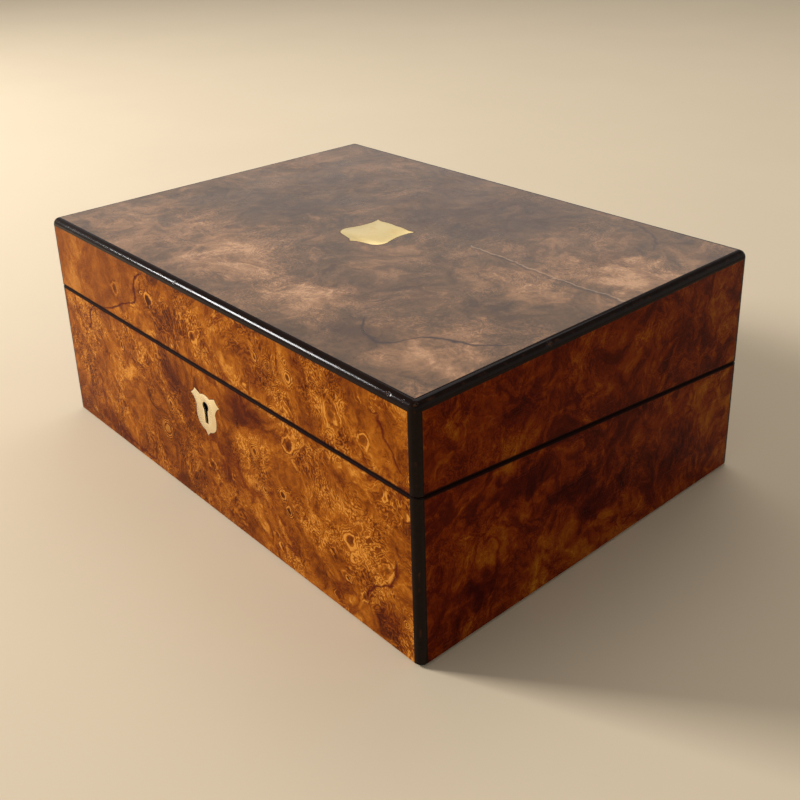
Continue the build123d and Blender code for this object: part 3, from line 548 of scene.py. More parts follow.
# The top: greyer colours, partly the wood's own tone and partly a painted reflection of the pale
# surroundings
topSheet = {
    "face": (2, 0.132),
    "shift": (0.11, 0.52, 0.23),
    "knots": 0.4,
    "contrast": 0.3,
    "cloud": 0.6,
    "ragged": 0.03,
    "shine": 0.5,
    "colours": [
        (0.0, paint(50, 30, 14)), (0.3, paint(84, 56, 30)), (0.55, paint(116, 80, 48)),
        (0.8, paint(156, 110, 72)), (1.0, paint(196, 146, 104)),
    ],
    "red": paint(96, 50, 30),
    "red share": 0.3,
    "vein": paint(58, 32, 20),
    "deep": paint(44, 22, 12),
    "dark spots": [
        (0.0, 0.07, 0.12, 0.07, 0.6), (-0.08, 0.0, 0.1, 0.06, 0.25), (-0.11, 0.07, 0.09, 0.08, 0.4),
        (0.095, -0.095, 0.03, 0.014, 0.5), (0.06, -0.06, 0.03, 0.02, 0.45),
        (0.125, -0.035, 0.03, 0.012, 0.4), (0.12, 0.06, 0.012, 0.03, 0.4),
    ],
    "light spots": [
        (0.085, 0.075, 0.04, 0.045, 0.5), (0.145, 0.05, 0.03, 0.07, 1.7), (0.12, 0.0, 0.05, 0.035, 1.2),
        (0.045, -0.085, 0.05, 0.04, 1.4), (-0.03, -0.085, 0.08, 0.045, 1.2), (-0.1, -0.07, 0.06, 0.045, 0.6),
        (0.14, -0.08, 0.04, 0.045, 1.3), (0.02, -0.02, 0.08, 0.04, 0.6),
    ],
    "veins": [
        {"axes": (0, 1), "width": 0.0018, "strength": 1.0, "points": [
            (0.0844, -0.079), (0.1119, -0.0935), (0.1219, -0.0765), (0.1469, -0.064), (0.1569, -0.0465),
        ]},
        {"axes": (0, 1), "width": 0.0022, "strength": 0.7, "points": [
            (0.0944, 0.112), (0.1169, 0.101), (0.1294, 0.0835), (0.1319, 0.0735),
        ]},
    ],
    "joint": {
        "axes": (0, 1), "width": 0.0009, "strength": 0.4, "colour": paint(200, 168, 138),
        "shadow": {"away": 0.0018, "width": 0.0016, "strength": 0.55, "from": (0.05, 0.075)},
        "points": [(0.0519, 0.0215), (0.09, 0.0195), (0.12, 0.0175), (0.1635, 0.0185)],
    },
    "gloss": 0.3,
}
# The back keeps the ends' darker colours, with their painted shade
backSheet = {
    **endSheet,
    "face": (1, 0.12),
    "shift": (0.71, 0.37, 0.13),
    "knots": 0.6,
    "dark spots": [(-0.09, 0.05, 0.05, 0.03, 0.6), (0.07, 0.1, 0.06, 0.02, 0.5)],
    "light spots": [(0.02, 0.04, 0.06, 0.03, 0.4)],
}
sheetLook = {
    "spot depth": 0.05,
    "knot sway": 0.35,
    "vein tremble": 0.006,
    "vein end": 0.004,
    "dark": -0.5,
    "light": 0.3,
    "dark red": 0.45,
    "knot deep": 0.75,
    "fleck": 0.35,
    # the dark colour painted along the shut line
    "rim": paint(22, 4, 2),
    "rim rough": 0.4,
}


def faceSpots(sheet, rows):
    # A sheet's rows as spots in space: centre, reach and weight
    axis, level = sheet["face"]
    spots = []
    for first, second, wide, high, weight in rows:
        centre, reach = [first, second], [wide, high]
        centre.insert(axis, level)
        reach.insert(axis, sheetLook["spot depth"])
        spots.append((centre, reach, weight))
    return spots


def strongestSpot(tree, place, spots):
    masks = []
    for centre, reach, weight in spots:
        mask = useGroup(tree, softSpot, Place=place, Centre=centre, Reach=reach)["Mask"]
        masks.append(times(tree, mask, weight))
    return largest(tree, *masks)


def laidVein(tree, place, vein):
    # A vein that follows a few points across the sheet; also how far to its side a point lies
    along, across = (parted(tree, place)[axis] for axis in vein["axes"])
    points = sorted(vein["points"])
    start, end = points[0][0], points[-1][0]
    levels = [level for step, level in points]
    low, high = min(levels), max(levels)
    share = calc(tree, "DIVIDE", minus(tree, along, start), end - start, clamp=True)
    node = put(tree, "ShaderNodeFloatCurve", {"Value": share})
    curve = node.mapping.curves[0]
    for step, level in points[1:-1]:
        curve.points.new((step - start) / (end - start), (level - low) / (high - low))
    curve.points[0].location = (0.0, (levels[0] - low) / (high - low))
    curve.points[len(points) - 1].location = (1.0, (levels[-1] - low) / (high - low))
    node.mapping.update()
    middle = timesPlus(tree, node.outputs[0], high - low, low)
    tremble = minus(tree, noise(tree, place, 150, 3), 0.5)
    middle = timesPlus(tree, tremble, sheetLook["vein tremble"], middle)
    side = minus(tree, across, middle)
    width = timesPlus(tree, noise(tree, place, 80, 2), vein["width"] * 1.6, vein["width"] * 0.2)
    mask = fade(tree, calc(tree, "ABSOLUTE", side), 0.0, width)
    tip = sheetLook["vein end"]
    inside = times(tree, ease(tree, along, start, start + tip), fade(tree, along, end - tip, end))
    return times(tree, mask, inside), side


def makeBurr(name, sheet):
    material, tree, shader, place = newMaterial(name, Specular_IOR_Level=sheet["shine"])
    sway = wobble(tree, sheet["ragged"], place, 75, 4, 0.65)
    loose = vec(tree, "ADD", place, sway)
    knots, lines = sheet["knots"], sheet["contrast"]
    lift = 0.0
    if "knots laid" in sheet:
        rows = [(x, z, size, size, 1.0) for x, z, size in sheet["knots laid"]]
        near = vec(tree, "ADD", place, scaled(tree, sway, sheetLook["knot sway"]))
        lift = strongestSpot(tree, near, faceSpots(sheet, rows))
    veins = []
    plain = None
    for vein in sheet.get("veins", []):
        mask, side = laidVein(tree, place, vein)
        veins.append(times(tree, mask, vein["strength"]))
        quiet = vein.get("quiet")
        if quiet:   # the plainer patch on the left of the long vein
            above = ease(tree, parted(tree, place)[2], *quiet["above"])
            plain = times(tree, fade(tree, side, *quiet["edge"]), above)
            knots = timesPlus(tree, plain, quiet["knots"] * sheet["knots"], sheet["knots"])
            plainShare = times(tree, plain, quiet["share"])
            calm = times(tree, plain, fade(tree, lift, 0.0, 0.5))
            lines = timesPlus(tree, calm, quiet["lines"] * sheet["contrast"], sheet["contrast"])
    figure = useGroup(tree, burrFigure, Place=place, Shift=sheet["shift"], Knots=knots, Lift=lift)
    tone = timesPlus(tree, figure["Tone"], sheet["cloud"], 0.5 - sheet["cloud"] / 2)
    tone = timesPlus(tree, figure["Line"], lines, tone)
    dark = strongestSpot(tree, loose, faceSpots(sheet, sheet["dark spots"]))
    dark = times(tree, dark, ease(tree, figure["Patch"], 0.36, 0.6, 0.4, 1.0))
    light = strongestSpot(tree, loose, faceSpots(sheet, sheet["light spots"]))
    light = times(tree, light, ease(tree, figure["Patch"], 0.64, 0.4))
    tone = timesPlus(tree, dark, sheetLook["dark"], tone)
    tone = timesPlus(tree, light, sheetLook["light"], tone)
    colour = ramp(tree, tone, sheet["colours"])
    if plain:
        streak = stretched(tree, loose, (90.0, 20.0, 25.0), 4, 0.6)
        quietTone = timesPlus(tree, streak, 0.6, times(tree, tone, 0.4))
        colour = blend(tree, plainShare, colour, ramp(tree, quietTone, sheet["quiet colours"]))
    red = times(tree, figure["Red"], sheet["red share"])
    red = largest(tree, red, times(tree, dark, sheetLook["dark red"]))
    colour = blend(tree, red, colour, sheet["red"])
    colour = blend(tree, times(tree, figure["Knot"], sheetLook["knot deep"]), colour, sheet["deep"])
    for mask in veins:
        colour = blend(tree, mask, colour, sheet["vein"])
    if "joint" in sheet:
        joint = sheet["joint"]
        shadow = joint["shadow"]
        mask, side = laidVein(tree, place, joint)
        under = calc(tree, "ABSOLUTE", calc(tree, "ADD", side, shadow["away"]))
        under = ease(tree, under, 0.0, shadow["width"], shadow["strength"], 0.0)
        under = times(tree, under, ease(tree, parted(tree, place)[0], *shadow["from"]))
        colour = blend(tree, under, colour, sheet["deep"])
        colour = blend(tree, times(tree, mask, joint["strength"]), colour, joint["colour"])
    fleck = ease(tree, noise(tree, place, 620, 3, 0.7), 0.5, 0.72, 0.0, sheetLook["fleck"])
    colour = blend(tree, fleck, colour, sheet["deep"])
    # A dark line painted along the shut line, where the two halves meet
    rim = useGroup(tree, paintedShutLine, Place=place)["Mask"]
    colour = blend(tree, rim, colour, sheetLook["rim"])
    marks = useGroup(tree, polishMarks, Place=place)
    rough = timesPlus(tree, marks["Smear"], 0.16, sheet["gloss"] - 0.08)
    rough = timesPlus(tree, marks["Scratch"], 0.12, rough)
    rough = timesPlus(tree, rim, sheetLook["rim rough"], rough)
    skin = bumped(tree, marks["Skin"], 0.0006, 0.22)
    coat(tree, shader, colour, rough, bumped(tree, figure["Line"], 0.00012, 0.25, skin))
    return material


burrFront = makeBurr("burrWalnutFront", frontSheet)
burrEnd = makeBurr("burrWalnutEnd", endSheet)
burrTop = makeBurr("burrWalnutTop", topSheet)
burrBack = makeBurr("burrWalnutBack", backSheet)
print("burr walnut made")


# Ebonised edging and corner strips
ebonised = {
    "black": paint(24, 14, 10),
    "streak": paint(40, 28, 22),
    "brown": paint(84, 48, 26),
    "worn share": 0.35,
    "gloss": 0.09,
    "half": (0.165, 0.1205, 0.132),
    "centre": (0.0, -0.001325, 0.0),
    "round": 0.004,
    "dings": [
        ((0.148, -0.1214, 0.1308), (0.0026, 0.0016, 0.0012), 1.0),
        ((0.1632, -0.1195, 0.1312), (0.0012, 0.0024, 0.0016), 1.0),
        ((0.157, -0.1214, 0.1308), (0.0012, 0.0016, 0.001), 1.0),
        ((-0.02, -0.1214, 0.1308), (0.002, 0.0016, 0.001), 0.8),
        ((0.1642, -0.04, 0.131), (0.002, 0.003, 0.002), 0.8),
        ((0.1648, -0.1212, 0.05), (0.002, 0.002, 0.003), 0.8),
    ],
}


def makeEbonised(values):
    material, tree, shader, place = newMaterial("ebonisedWood", Specular_IOR_Level=0.07)
    box = {"Centre": values["centre"], "Half": values["half"], "Round": values["round"]}
    worn = useGroup(tree, rubbedCrown, Place=place, **box)["Mask"]
    dings = strongestSpot(tree, place, values["dings"])
    dings = times(tree, dings, ease(tree, noise(tree, place, 1100, 3), 0.46, 0.56))
    grain = useGroup(tree, straightGrain, Place=place, Wander=0.01)
    colour = blend(tree, times(tree, grain["Streak"], 0.25), values["black"], values["streak"])
    show = largest(tree, times(tree, worn, values["worn share"]), dings)
    colour = blend(tree, show, colour, values["brown"])
    marks = useGroup(tree, polishMarks, Place=place)
    rough = timesPlus(tree, marks["Smear"], 0.2, values["gloss"] - 0.06)
    rough = timesPlus(tree, marks["Scratch"], 0.15, rough)
    rough = timesPlus(tree, show, 0.25, rough)
    skin = bumped(tree, marks["Skin"], 0.0006, 0.2)
    coat(tree, shader, colour, rough, bumped(tree, times(tree, dings, -1.0), 0.0005, 0.6, skin))
    return material


ebonisedWood = makeEbonised(ebonised)


# Solid timbers of the carcass and the fittings, one material for each way the grain runs
timbers = {
    "mahogany": {
        "light": paint(148, 82, 38), "dark": paint(92, 42, 18), "pore": paint(48, 19, 8),
        "gloss": 0.42, "ways": ("alongX", "alongY"),
    },
    "walnut": {
        "light": paint(138, 92, 54), "dark": paint(84, 50, 28), "pore": paint(44, 26, 14),
        "gloss": 0.3, "ways": ("alongX",),
    },
}
grainTurns = {"alongX": (0, 0, 0), "alongY": (0, 0, math.pi / 2)}


def makeTimber(name, values, way):
    material, tree, shader, place = newMaterial(name, Specular_IOR_Level=0.45)
    grain = useGroup(tree, straightGrain, Place=rotated(tree, place, grainTurns[way]), Wander=0.02)
    colour = blend(tree, grain["Tone"], values["dark"], values["light"])
    colour = blend(tree, times(tree, grain["Streak"], 0.35), colour, values["dark"])
    colour = blend(tree, times(tree, grain["Pore"], 0.75), colour, values["pore"])
    handled = ease(tree, noise(tree, place, 28, 4, 0.6), 0.5, 0.8, 0.0, 0.35)
    colour = blend(tree, handled, colour, values["pore"])
    marks = useGroup(tree, polishMarks, Place=place)
    rough = timesPlus(tree, marks["Smear"], 0.2, values["gloss"] - 0.1)
    rough = timesPlus(tree, grain["Pore"], 0.2, rough)
    skin = bumped(tree, marks["Skin"], 0.0004, 0.15)
    normal = bumped(tree, times(tree, grain["Pore"], -1.0), 0.0002, 0.5, skin)
    # The lock's timber round the keyhole is darkened as painted shade
    coat(tree, shader, shadedRoundKeyhole(tree, place, colour), rough, normal)
    return material


timberOf = {
    (kind, way): makeTimber(kind + way[0].upper() + way[1:], values, way)
    for kind, values in timbers.items() for way in values["ways"]
}
print("timbers made")


# Brass and steel
metals = {
    "inlayBrass": {
        "bright": (1.0, 0.76, 0.35, 1.0), "dull": (0.82, 0.52, 0.18, 1.0),
        "tarnish": 0.4, "gloss": 0.3, "dent": 0.16,
    },
    # A paler, brighter copy of the inlay brass for the escutcheon; the extra lightness is painted light on
    # the lit front
    "inlayShield": {
        "bright": (1.0, 0.86, 0.56, 1.0), "dull": (0.88, 0.62, 0.28, 1.0),
        "tarnish": 0.4, "gloss": 0.27, "dent": 0.2,
    },
    # Near-black metal for the inlays' eased edges: a dark outline, partly the dark filler line and partly
    # painted shade at the edge
    "inlayRim": {
        "bright": (0.09, 0.045, 0.02, 1.0), "dull": (0.02, 0.01, 0.008, 1.0),
        "tarnish": 0.8, "gloss": 0.55, "dent": 0.3,
    },
    "fittingBrass": {
        "bright": (0.83, 0.60, 0.27, 1.0), "dull": (0.46, 0.28, 0.11, 1.0),
        "tarnish": 0.7, "gloss": 0.28, "dent": 0.2,
    },
    "boltSteel": {
        "bright": (0.56, 0.55, 0.53, 1.0), "dull": (0.26, 0.23, 0.2, 1.0),
        "tarnish": 0.8, "gloss": 0.33, "dent": 0.15,
    },
}


def makeMetal(name, values):
    material, tree, shader, place = newMaterial(name, Metallic=1.0)
    marks = useGroup(tree, handledMetal, Place=place)
    tarnish = times(tree, marks["Tarnish"], values["tarnish"])
    colour = blend(tree, tarnish, values["bright"], values["dull"])
    # Fittings round the keyhole are darkened as painted shade; inlays are left out
    if not name.startswith("inlay"):
        colour = shadedRoundKeyhole(tree, place, colour)
    rough = timesPlus(tree, tarnish, 0.22, values["gloss"])
    rough = timesPlus(tree, marks["Scratch"], 0.14, rough)
    dent = bumped(tree, marks["Dent"], 0.0004, values["dent"])
    coat(tree, shader, colour, rough, bumped(tree, times(tree, marks["Scratch"], -1.0), 0.00006, 0.4, dent))
    return material


metalOf = {name: makeMetal(name, values) for name, values in metals.items()}
print("metals made")


# Leather of the two flaps, with a gold-tooled border set out from its edges
leatherLook = {
    "green": paint(30, 58, 42),
    "dark": paint(14, 30, 22),
    "rubbed": paint(74, 96, 66),
    "gold": (0.90, 0.66, 0.26, 1.0),
    "pebbles": 780.0,
}
tooling = {
    "outer": 0.0045,
    "inner": 0.0150,
    "second": 0.0011,
    "thick": 0.0004,
    "thin": 0.0002,
    "blind": 0.0023,
    "blind width": 0.0007,
    "band": 0.0098,
    "pitch": 0.0092,
    "lozenge": 0.0030,
    "corner": 0.0006,
    "petals": 8.0,
    "petal": 0.0006,
    "rosette": 0.0028,
}


def makeToolingGroup(values):
    # Gold lines and a band of small lozenges and dots round a rectangle, with a rosette in each corner
    tree, source, result = newGroup(
        "goldTooling", {"Place": None, "HalfWidth": 0.1, "HalfDepth": 0.1}, ["Gold", "Press"],
    )
    x, y = parted(tree, source["Place"])[:2]
    fromSide = minus(tree, source["HalfWidth"], calc(tree, "ABSOLUTE", x))
    fromEnd = minus(tree, source["HalfDepth"], calc(tree, "ABSOLUTE", y))
    edge = calc(tree, "MINIMUM", fromSide, fromEnd)
    onSide = calc(tree, "LESS_THAN", fromSide, fromEnd)
    along = calc(tree, "ADD", times(tree, onSide, minus(tree, y, x)), x)

    def rule(away, width):
        return fade(tree, gap(tree, edge, away), width * 0.6, width)

    def distance(first, second):
        squares = [calc(tree, "POWER", value, 2.0) for value in (first, second)]
        return calc(tree, "POWER", calc(tree, "ADD", *squares), 0.5)

    lines = largest(
        tree,
        rule(values["outer"], values["thick"]), rule(values["outer"] + values["second"], values["thin"]),
        rule(values["inner"], values["thick"]), rule(values["inner"] - values["second"], values["thin"]),
    )
    # The band: a lozenge with a heart at each step, and a dot between two of them
    bandOff = minus(tree, edge, values["band"])
    share = gap(tree, calc(tree, "FRACT", calc(tree, "DIVIDE", along, values["pitch"])), 0.5)
    lozenge = calc(tree, "ABSOLUTE", calc(tree, "DIVIDE", bandOff, values["lozenge"]))
    lozenge = calc(tree, "ADD", times(tree, share, 2.9), lozenge)
    ring = fade(tree, gap(tree, lozenge, 0.9), 0.06, 0.13)
    heart = fade(tree, lozenge, 0.22, 0.34)
    side = times(tree, minus(tree, 0.5, share), values["pitch"])
    dot = fade(tree, distance(side, bandOff), 0.0004, 0.0006)
    cornerSize = values["inner"] + values["corner"]
    corner = calc(tree, "LESS_THAN", largest(tree, fromSide, fromEnd), cornerSize)
    band = times(tree, largest(tree, ring, heart, dot), minus(tree, 1.0, corner))
    # The rosette: a wavy ring of petals round a dot
    u = minus(tree, fromSide, values["band"])
    v = minus(tree, fromEnd, values["band"])
    out = distance(u, v)
    petal = calc(tree, "COSINE", times(tree, calc(tree, "ARCTAN2", v, u), values["petals"]))
    petal = timesPlus(tree, petal, values["petal"], values["rosette"])
    petalRing = fade(tree, gap(tree, out, petal), 0.0002, 0.00035)
    rosette = times(tree, largest(tree, petalRing, fade(tree, out, 0.0009, 0.0012)), corner)
    gold = largest(tree, lines, band, rosette)
    feed(tree, gold, result["Gold"])
    blind = rule(values["blind"], values["blind width"])
    feed(tree, largest(tree, gold, blind), result["Press"])
    return tree


goldTooling = makeToolingGroup(tooling)


def makeLeather(name, node, values):
    low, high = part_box(node)
    centre = (low + high) / 2
    halfWidth = (high.x - low.x) / 2
    halfDepth = (high.y - low.y) / 2 / math.cos(rimSlope)
    material, tree, shader, place = newMaterial(name, Specular_IOR_Level=0.4)
    flat = rotated(tree, vec(tree, "SUBTRACT", place, tuple(centre)), (rimSlope, 0, 0))
    tooled = useGroup(tree, goldTooling, Place=flat, HalfWidth=halfWidth, HalfDepth=halfDepth)
    cells = {"Vector": place, "Scale": values["pebbles"]}
    cells = put(tree, "ShaderNodeTexVoronoi", cells, feature="DISTANCE_TO_EDGE")
    pebble = ease(tree, cells.outputs["Distance"], 0.0, 0.22)
    wrinkle = noise(tree, place, 160, 5, 0.6)
    worn = ease(tree, noise(tree, place, 15, 4, 0.55), 0.5, 0.75)
    colour = blend(tree, noise(tree, place, 40, 4), values["dark"], values["green"])
    colour = blend(tree, times(tree, worn, times(tree, pebble, 0.5)), colour, values["rubbed"])
    colour = blend(tree, ease(tree, pebble, 0.0, 0.5, 0.5, 0.0), colour, values["dark"])
    flaked = ease(tree, noise(tree, place, 520, 3, 0.7), 0.36, 0.46)
    gold = times(tree, tooled["Gold"], flaked)
    colour = blend(tree, gold, colour, values["gold"])
    feed(tree, gold, shader["Metallic"])
    rough = timesPlus(tree, gold, -0.15, timesPlus(tree, worn, -0.12, 0.52))
    grain = bumped(tree, calc(tree, "ADD", pebble, wrinkle), 0.00025, 0.45)
    press = bumped(tree, times(tree, tooled["Press"], -1.0), 0.0003, 0.7, grain)
    coat(tree, shader, colour, rough, press)
    return material


leatherBase = makeLeather("tooledLeatherBase", "base_flap_leather", leatherLook)
leatherLid = makeLeather("tooledLeatherLid", "lid_flap_leather", leatherLook)


# Baize under the base, and the inkwells' glass
baizeLook = {
    "dark": paint(18, 58, 34),
    "light": paint(40, 92, 56),
    "worn": paint(70, 96, 62),
    "pits": paint(12, 36, 22),
}
glassLook = {
    "clear": (0.97, 0.99, 0.98, 1.0),
    "ink": (0.45, 0.5, 0.62, 1.0),
    "ink full": 0.004,
    "ink top": 0.012,
}


def makeBaize(values):
    settings = {"Sheen_Weight": 0.5, "Sheen_Roughness": 0.5, "Roughness": 0.95}
    material, tree, shader, place = newMaterial("greenBaize", **settings)
    nap = noise(tree, place, 1500, 4, 0.7)
    felted = noise(tree, vec(tree, "MULTIPLY", place, (1.0, 1.6, 1.0)), 260, 4, 0.65)
    worn = ease(tree, noise(tree, place, 18, 4), 0.45, 0.7)
    colour = blend(tree, felted, values["dark"], values["light"])
    colour = blend(tree, times(tree, worn, 0.4), colour, values["worn"])
    colour = blend(tree, ease(tree, nap, 0.5, 0.8, 0.0, 0.4), colour, values["pits"])
    coat(tree, shader, colour, None, bumped(tree, calc(tree, "ADD", nap, felted), 0.0006, 0.8))
    return material


def makeGlass(values):
    material, tree, shader, place = newMaterial("inkwellGlass", Transmission_Weight=1.0, IOR=1.5)
    film = noise(tree, place, 60, 5, 0.6)
    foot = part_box("inkwell_left")[0].z
    height = parted(tree, place)[2]
    ink = fade(tree, height, foot + values["ink full"], foot + values["ink top"])
    stain = times(tree, ink, ease(tree, film, 0.35, 0.6, 0.2, 0.75))
    colour = blend(tree, stain, values["clear"], values["ink"])
    rough = ease(tree, film, 0.45, 0.75, 0.02, 0.16)
    coat(tree, shader, colour, rough, bumped(tree, noise(tree, place, 45, 2), 0.001, 0.1))
    return material


greenBaize = makeBaize(baizeLook)
inkwellGlass = makeGlass(glassLook)
print("leather, baize and glass made")


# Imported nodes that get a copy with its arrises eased, in metres of easing
easedWood = {
    "base_flap_board": 0.0004, "lid_flap_board": 0.0004, "base_flap_rail": 0.0004, "lid_flap_rail": 0.0004,
    "base_flap_ledges": 0.0003, "well_partitions": 0.0004, "strip_divider": 0.0004,
}
easedFittings = {
    "base_hinge_leaves": 0.0002, "lid_hinge_leaves": 0.0002, "lock_plate": 0.0002, "lock_cap": 0.0002,
    "lock_bolt": 0.0002, "lock_link_plate": 0.0002, "base_flap_hinges": 0.00012, "lid_flap_hinges": 0.00012,
    "base_flap_hinge_leaves": 0.00012, "lid_flap_hinge_leaves": 0.00012, "lid_flap_catch_plate": 0.0002,
    "lid_flap_catch_bolt": 0.0002, "inkwell_collars": 0.0002, "inkwell_cap_left": 0.0003,
    "inkwell_cap_right": 0.0003, "inkwell_left": 0.0005, "inkwell_right": 0.0005,
}
inlaid = {"lock_escutcheon": 0.0005, "lid_cartouche": 0.0006}


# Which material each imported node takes
brassNodes = [*easedFittings, "hinge_pins", "base_screws", "lid_screws"]
finishOf = {name: metalOf["fittingBrass"] for name in brassNodes}
finishOf.update({
    "lock_escutcheon": metalOf["inlayShield"], "lid_cartouche": metalOf["inlayBrass"],
    "lock_bolt": metalOf["boltSteel"],
    "lid_top_veneer": burrTop, "lid_top_edgings": ebonisedWood,
    "base_flap_leather": leatherBase, "lid_flap_leather": leatherLid,
    "base_baize": greenBaize, "inkwell_left": inkwellGlass, "inkwell_right": inkwellGlass,
})
for half in ("base", "lid"):
    finishOf[half + "_front_veneer"] = burrFront
    finishOf[half + "_back_veneer"] = burrBack
    finishOf[half + "_corner_strips"] = ebonisedWood
    for side in ("left", "right"):
        finishOf[f"{half}_{side}_veneer"] = burrEnd
        finishOf[f"{half}_{side}_board"] = timberOf["mahogany", "alongY"]
for name in ("well_partitions", "well_floors"):
    finishOf[name] = timberOf["mahogany", "alongY"]


def timberFor(name):
    # Any other node is timber: walnut where it is a facing, flap, rail or tray, and mahogany elsewhere
    fine = any(word in name for word in ("facings", "flap_board", "rail", "tray"))
    return timberOf["walnut" if fine else "mahogany", "alongX"]


for name, node in nodes.items():
    material = finishOf.get(name) or timberFor(name)
    node.data.materials.clear()
    node.data.materials.append(material)
print("packed nodes dressed")


# The eased copies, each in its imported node's place
meshCare = {
    "same point": 0.000002,
    "flat": math.radians(0.6),
    "arris": math.radians(40),
    "smooth": math.radians(32),
    "segments": 2,
}


def enter(mode):
    bpy.ops.object.mode_set(mode=mode)


def mergedCopy(node, name):
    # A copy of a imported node, its loose triangles joined into whole faces
    bpy.ops.object.select_all(action="DESELECT")
    piece = addObject(name, nodes[node].data.copy())
    piece.select_set(True)
    bpy.context.view_layer.objects.active = piece
    bpy.ops.mesh.customdata_custom_splitnormals_clear()
    enter("EDIT")
    bpy.ops.mesh.select_all(action="SELECT")
    bpy.ops.mesh.remove_doubles(threshold=meshCare["same point"])
    bpy.ops.mesh.dissolve_limited(angle_limit=meshCare["flat"])
    enter("OBJECT")
    return piece


def easedCopy(node, width, rim=None):
    piece = mergedCopy(node, node + "_eased")
    bevel = piece.modifiers.new("easedArrises", "BEVEL")
    bevel.width = width
    bevel.segments = meshCare["segments"]
    bevel.limit_method = "ANGLE"
    bevel.angle_limit = meshCare["arris"]
    if rim:
        piece.data.materials.append(rim)
        bevel.material = 1
    bpy.ops.object.modifier_apply(modifier=bevel.name)
    bpy.ops.object.shade_smooth_by_angle(angle=meshCare["smooth"])
    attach(piece, nodes[node]["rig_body"])
    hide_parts(node)


for name, width in {**easedWood, **easedFittings}.items():
    easedCopy(name, width)
# The inlays' eased edges take the near-black metal: a dark outline, partly filler line and partly painted
# shade
for name, width in inlaid.items():
    easedCopy(name, width, metalOf["inlayRim"])
print("arrises eased")


# Slotted brass screws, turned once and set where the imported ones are
screwShape = {
    "sides": 28,
    "head": 0.0020,
    "lip": 0.00018,
    "shank": 0.0011,
    "tip": 0.0003,
    "taper": 0.72,
    "sink": 0.0011,
    "slot": 0.00026,
    "slot depth": 0.00055,
    "slot end": 0.00016,
    "disc": 4e-7,
    "first turn": 0.35,
    "next turn": 1.27,
}


def selectFaces(piece, wanted):
    enter("OBJECT")
    for parts in (piece.data.vertices, piece.data.edges):
        parts.foreach_set("select", [False] * len(parts))
    for face in piece.data.polygons:
        face.select = face.center.z > -0.000001 and wanted(face)
    enter("EDIT")


def makeScrew(values, length):
    # One screw, point down, its head's face at the origin
    bpy.context.tool_settings.mesh_select_mode = (False, False, True)
    bpy.ops.object.select_all(action="DESELECT")
    bpy.ops.mesh.primitive_circle_add(
        vertices=values["sides"], radius=values["tip"], fill_type="NGON", location=(0, 0, 0),
    )
    screw = bpy.context.object
    enter("EDIT")
    bpy.ops.mesh.select_all(action="SELECT")
    bpy.ops.transform.translate(value=(0, 0, -length))
    low, wide = -length, values["tip"]
    rings = [
        (-length * values["taper"], values["shank"]), (-values["sink"], values["shank"]),
        (-values["lip"], values["head"]), (-values["lip"] / 3, values["head"]),
        (0.0, values["head"] - values["lip"] / 2),
    ]
    for level, radius in rings:
        bpy.ops.mesh.extrude_region_move(TRANSFORM_OT_translate={"value": (0, 0, level - low)})
        share = radius / wide
        bpy.ops.transform.resize(value=(share, share, 1), center_override=(0, 0, 0))
        low, wide = level, radius
    bpy.ops.mesh.inset(thickness=values["slot end"])
    for side in (-1, 1):
        bpy.ops.mesh.bisect(plane_co=(side * values["slot"], 0, 0), plane_no=(1, 0, 0))
        selectFaces(screw, lambda face: face.normal.z > 0.9 and face.area > values["disc"])
    near = values["slot"] * 0.5
    selectFaces(screw, lambda face: abs(face.center.x) < near and abs(face.center.y) < near)
    bpy.ops.mesh.extrude_region_move(TRANSFORM_OT_translate={"value": (0, 0, -values["slot depth"])})
    bpy.ops.mesh.select_all(action="SELECT")
    bpy.ops.mesh.normals_make_consistent(inside=False)
    enter("OBJECT")
    bpy.ops.object.shade_smooth_by_angle(angle=meshCare["smooth"])
    return screw


def screwPlaces(node, outward):
    # The middle of each packed screw's head, and the screw's length
    mergedCopy(node, "screwGuide")
    bpy.ops.mesh.separate(type="LOOSE")
    places = []
    for island in list(bpy.context.selected_objects):
        points = [vertex.co for vertex in island.data.vertices]
        heights = [point.dot(outward) for point in points]
        top = max(heights)
        crown = [point for point, height in zip(points, heights) if height > top - 0.00001]
        places.append((sum(crown, Vector()) / len(crown), top - min(heights)))
        bpy.data.objects.remove(island)
    return sorted(places, key=lambda entry: tuple(entry[0]))


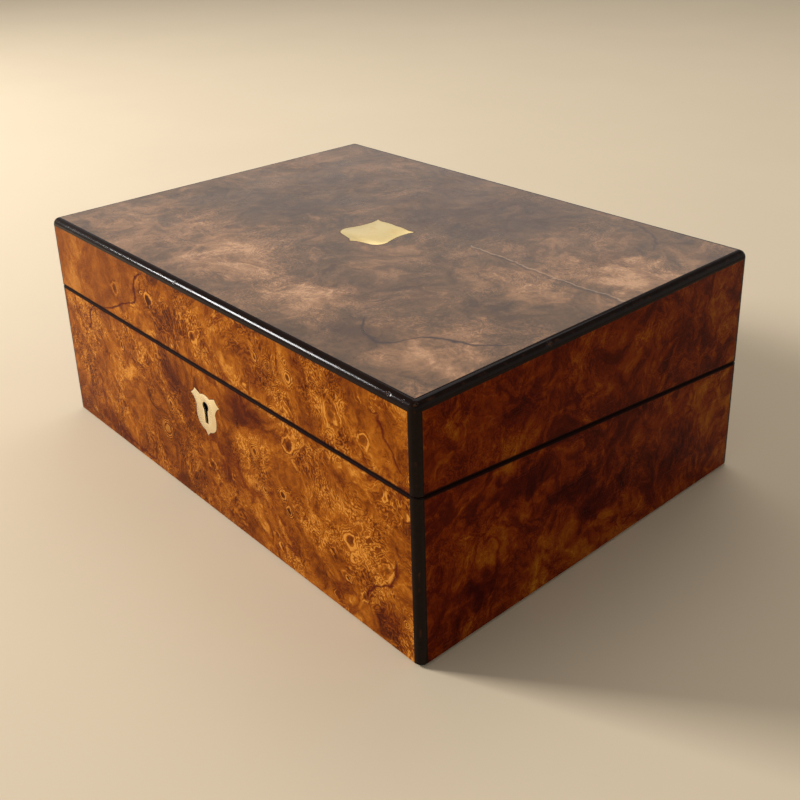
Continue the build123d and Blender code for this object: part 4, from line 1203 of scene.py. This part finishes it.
def setScrews(node, outward, values):
    places = screwPlaces(node, outward)
    pattern = makeScrew(values, places[0][1])
    screws = []
    for index, entry in enumerate(places):
        screw = addObject("screw", pattern.data.copy())
        turn = Matrix.Rotation(values["first turn"] + values["next turn"] * index, 4, "Z")
        screw.data.transform(Matrix.Translation(entry[0]) @ facing(outward) @ turn)
        screws.append(screw)
    bpy.data.objects.remove(pattern)
    bpy.ops.object.select_all(action="DESELECT")
    for screw in screws:
        screw.select_set(True)
    piece = screws[0]
    bpy.context.view_layer.objects.active = piece
    bpy.ops.object.join()
    piece.name = node + "_slotted"
    piece.data.materials.append(metalOf["fittingBrass"])
    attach(piece, nodes[node]["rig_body"])
    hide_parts(node)


setScrews("base_screws", rimNormal, screwShape)
setScrews("lid_screws", -rimNormal, screwShape)
print("screws set")


# Floor and soft studio light
studio = {
    "floor": paint(216, 197, 168),
    "floor speckle": 0.94,
    "floor size": 14.0,
    "aim": (0.0, 0.0, 0.06),
    "lights": {
        "windowLight": {"place": (-1.75, -1.25, 1.1), "size": (0.6, 0.45), "power": 72.0},
        "topFill": {"place": (-0.6, 0.9, 1.9), "size": (1.6, 1.2), "power": 12.0},
    },
    "sky": [
        (0.0, (0.9, 0.9, 0.88, 1)), (0.36, (1.0, 0.99, 0.96, 1)), (0.56, (0.3, 0.3, 0.3, 1)),
        (1.0, (0.3, 0.3, 0.3, 1)),
    ],
    "sky strength": 0.8,
}


def makeFloor(values):
    bpy.ops.object.select_all(action="DESELECT")
    bpy.ops.mesh.primitive_plane_add(size=values["floor size"], location=(0, 0, 0))
    floor = bpy.context.object
    floor.name = "studioFloor"
    material, tree, shader, place = newMaterial("paleFloor", Roughness=0.9, Specular_IOR_Level=0.2)
    light = values["floor"]
    soft = tuple(part * values["floor speckle"] for part in light[:3]) + (1.0,)
    feed(tree, blend(tree, noise(tree, place, 6, 3), soft, light), shader["Base Color"])
    floor.data.materials.append(material)


def makeLights(values):
    for name, light in values["lights"].items():
        data = bpy.data.lights.new(name, "AREA")
        data.shape = "RECTANGLE"
        data.size, data.size_y = light["size"]
        data.energy = light["power"]
        lamp = addObject(name, data)
        away = Vector(light["place"]) - Vector(values["aim"])
        lamp.matrix_world = Matrix.Translation(light["place"]) @ facing(away)
    world = bpy.data.worlds.new("paleStudio")
    bpy.context.scene.world = world
    world.use_nodes = True
    tree = world.node_tree
    height = parted(tree, tree.nodes.new("ShaderNodeTexCoord").outputs["Generated"])[2]
    background = tree.nodes["Background"].inputs
    feed(tree, ramp(tree, height, values["sky"]), background["Color"])
    background["Strength"].default_value = values["sky strength"]


makeFloor(studio)
makeLights(studio)
print("studio lit")
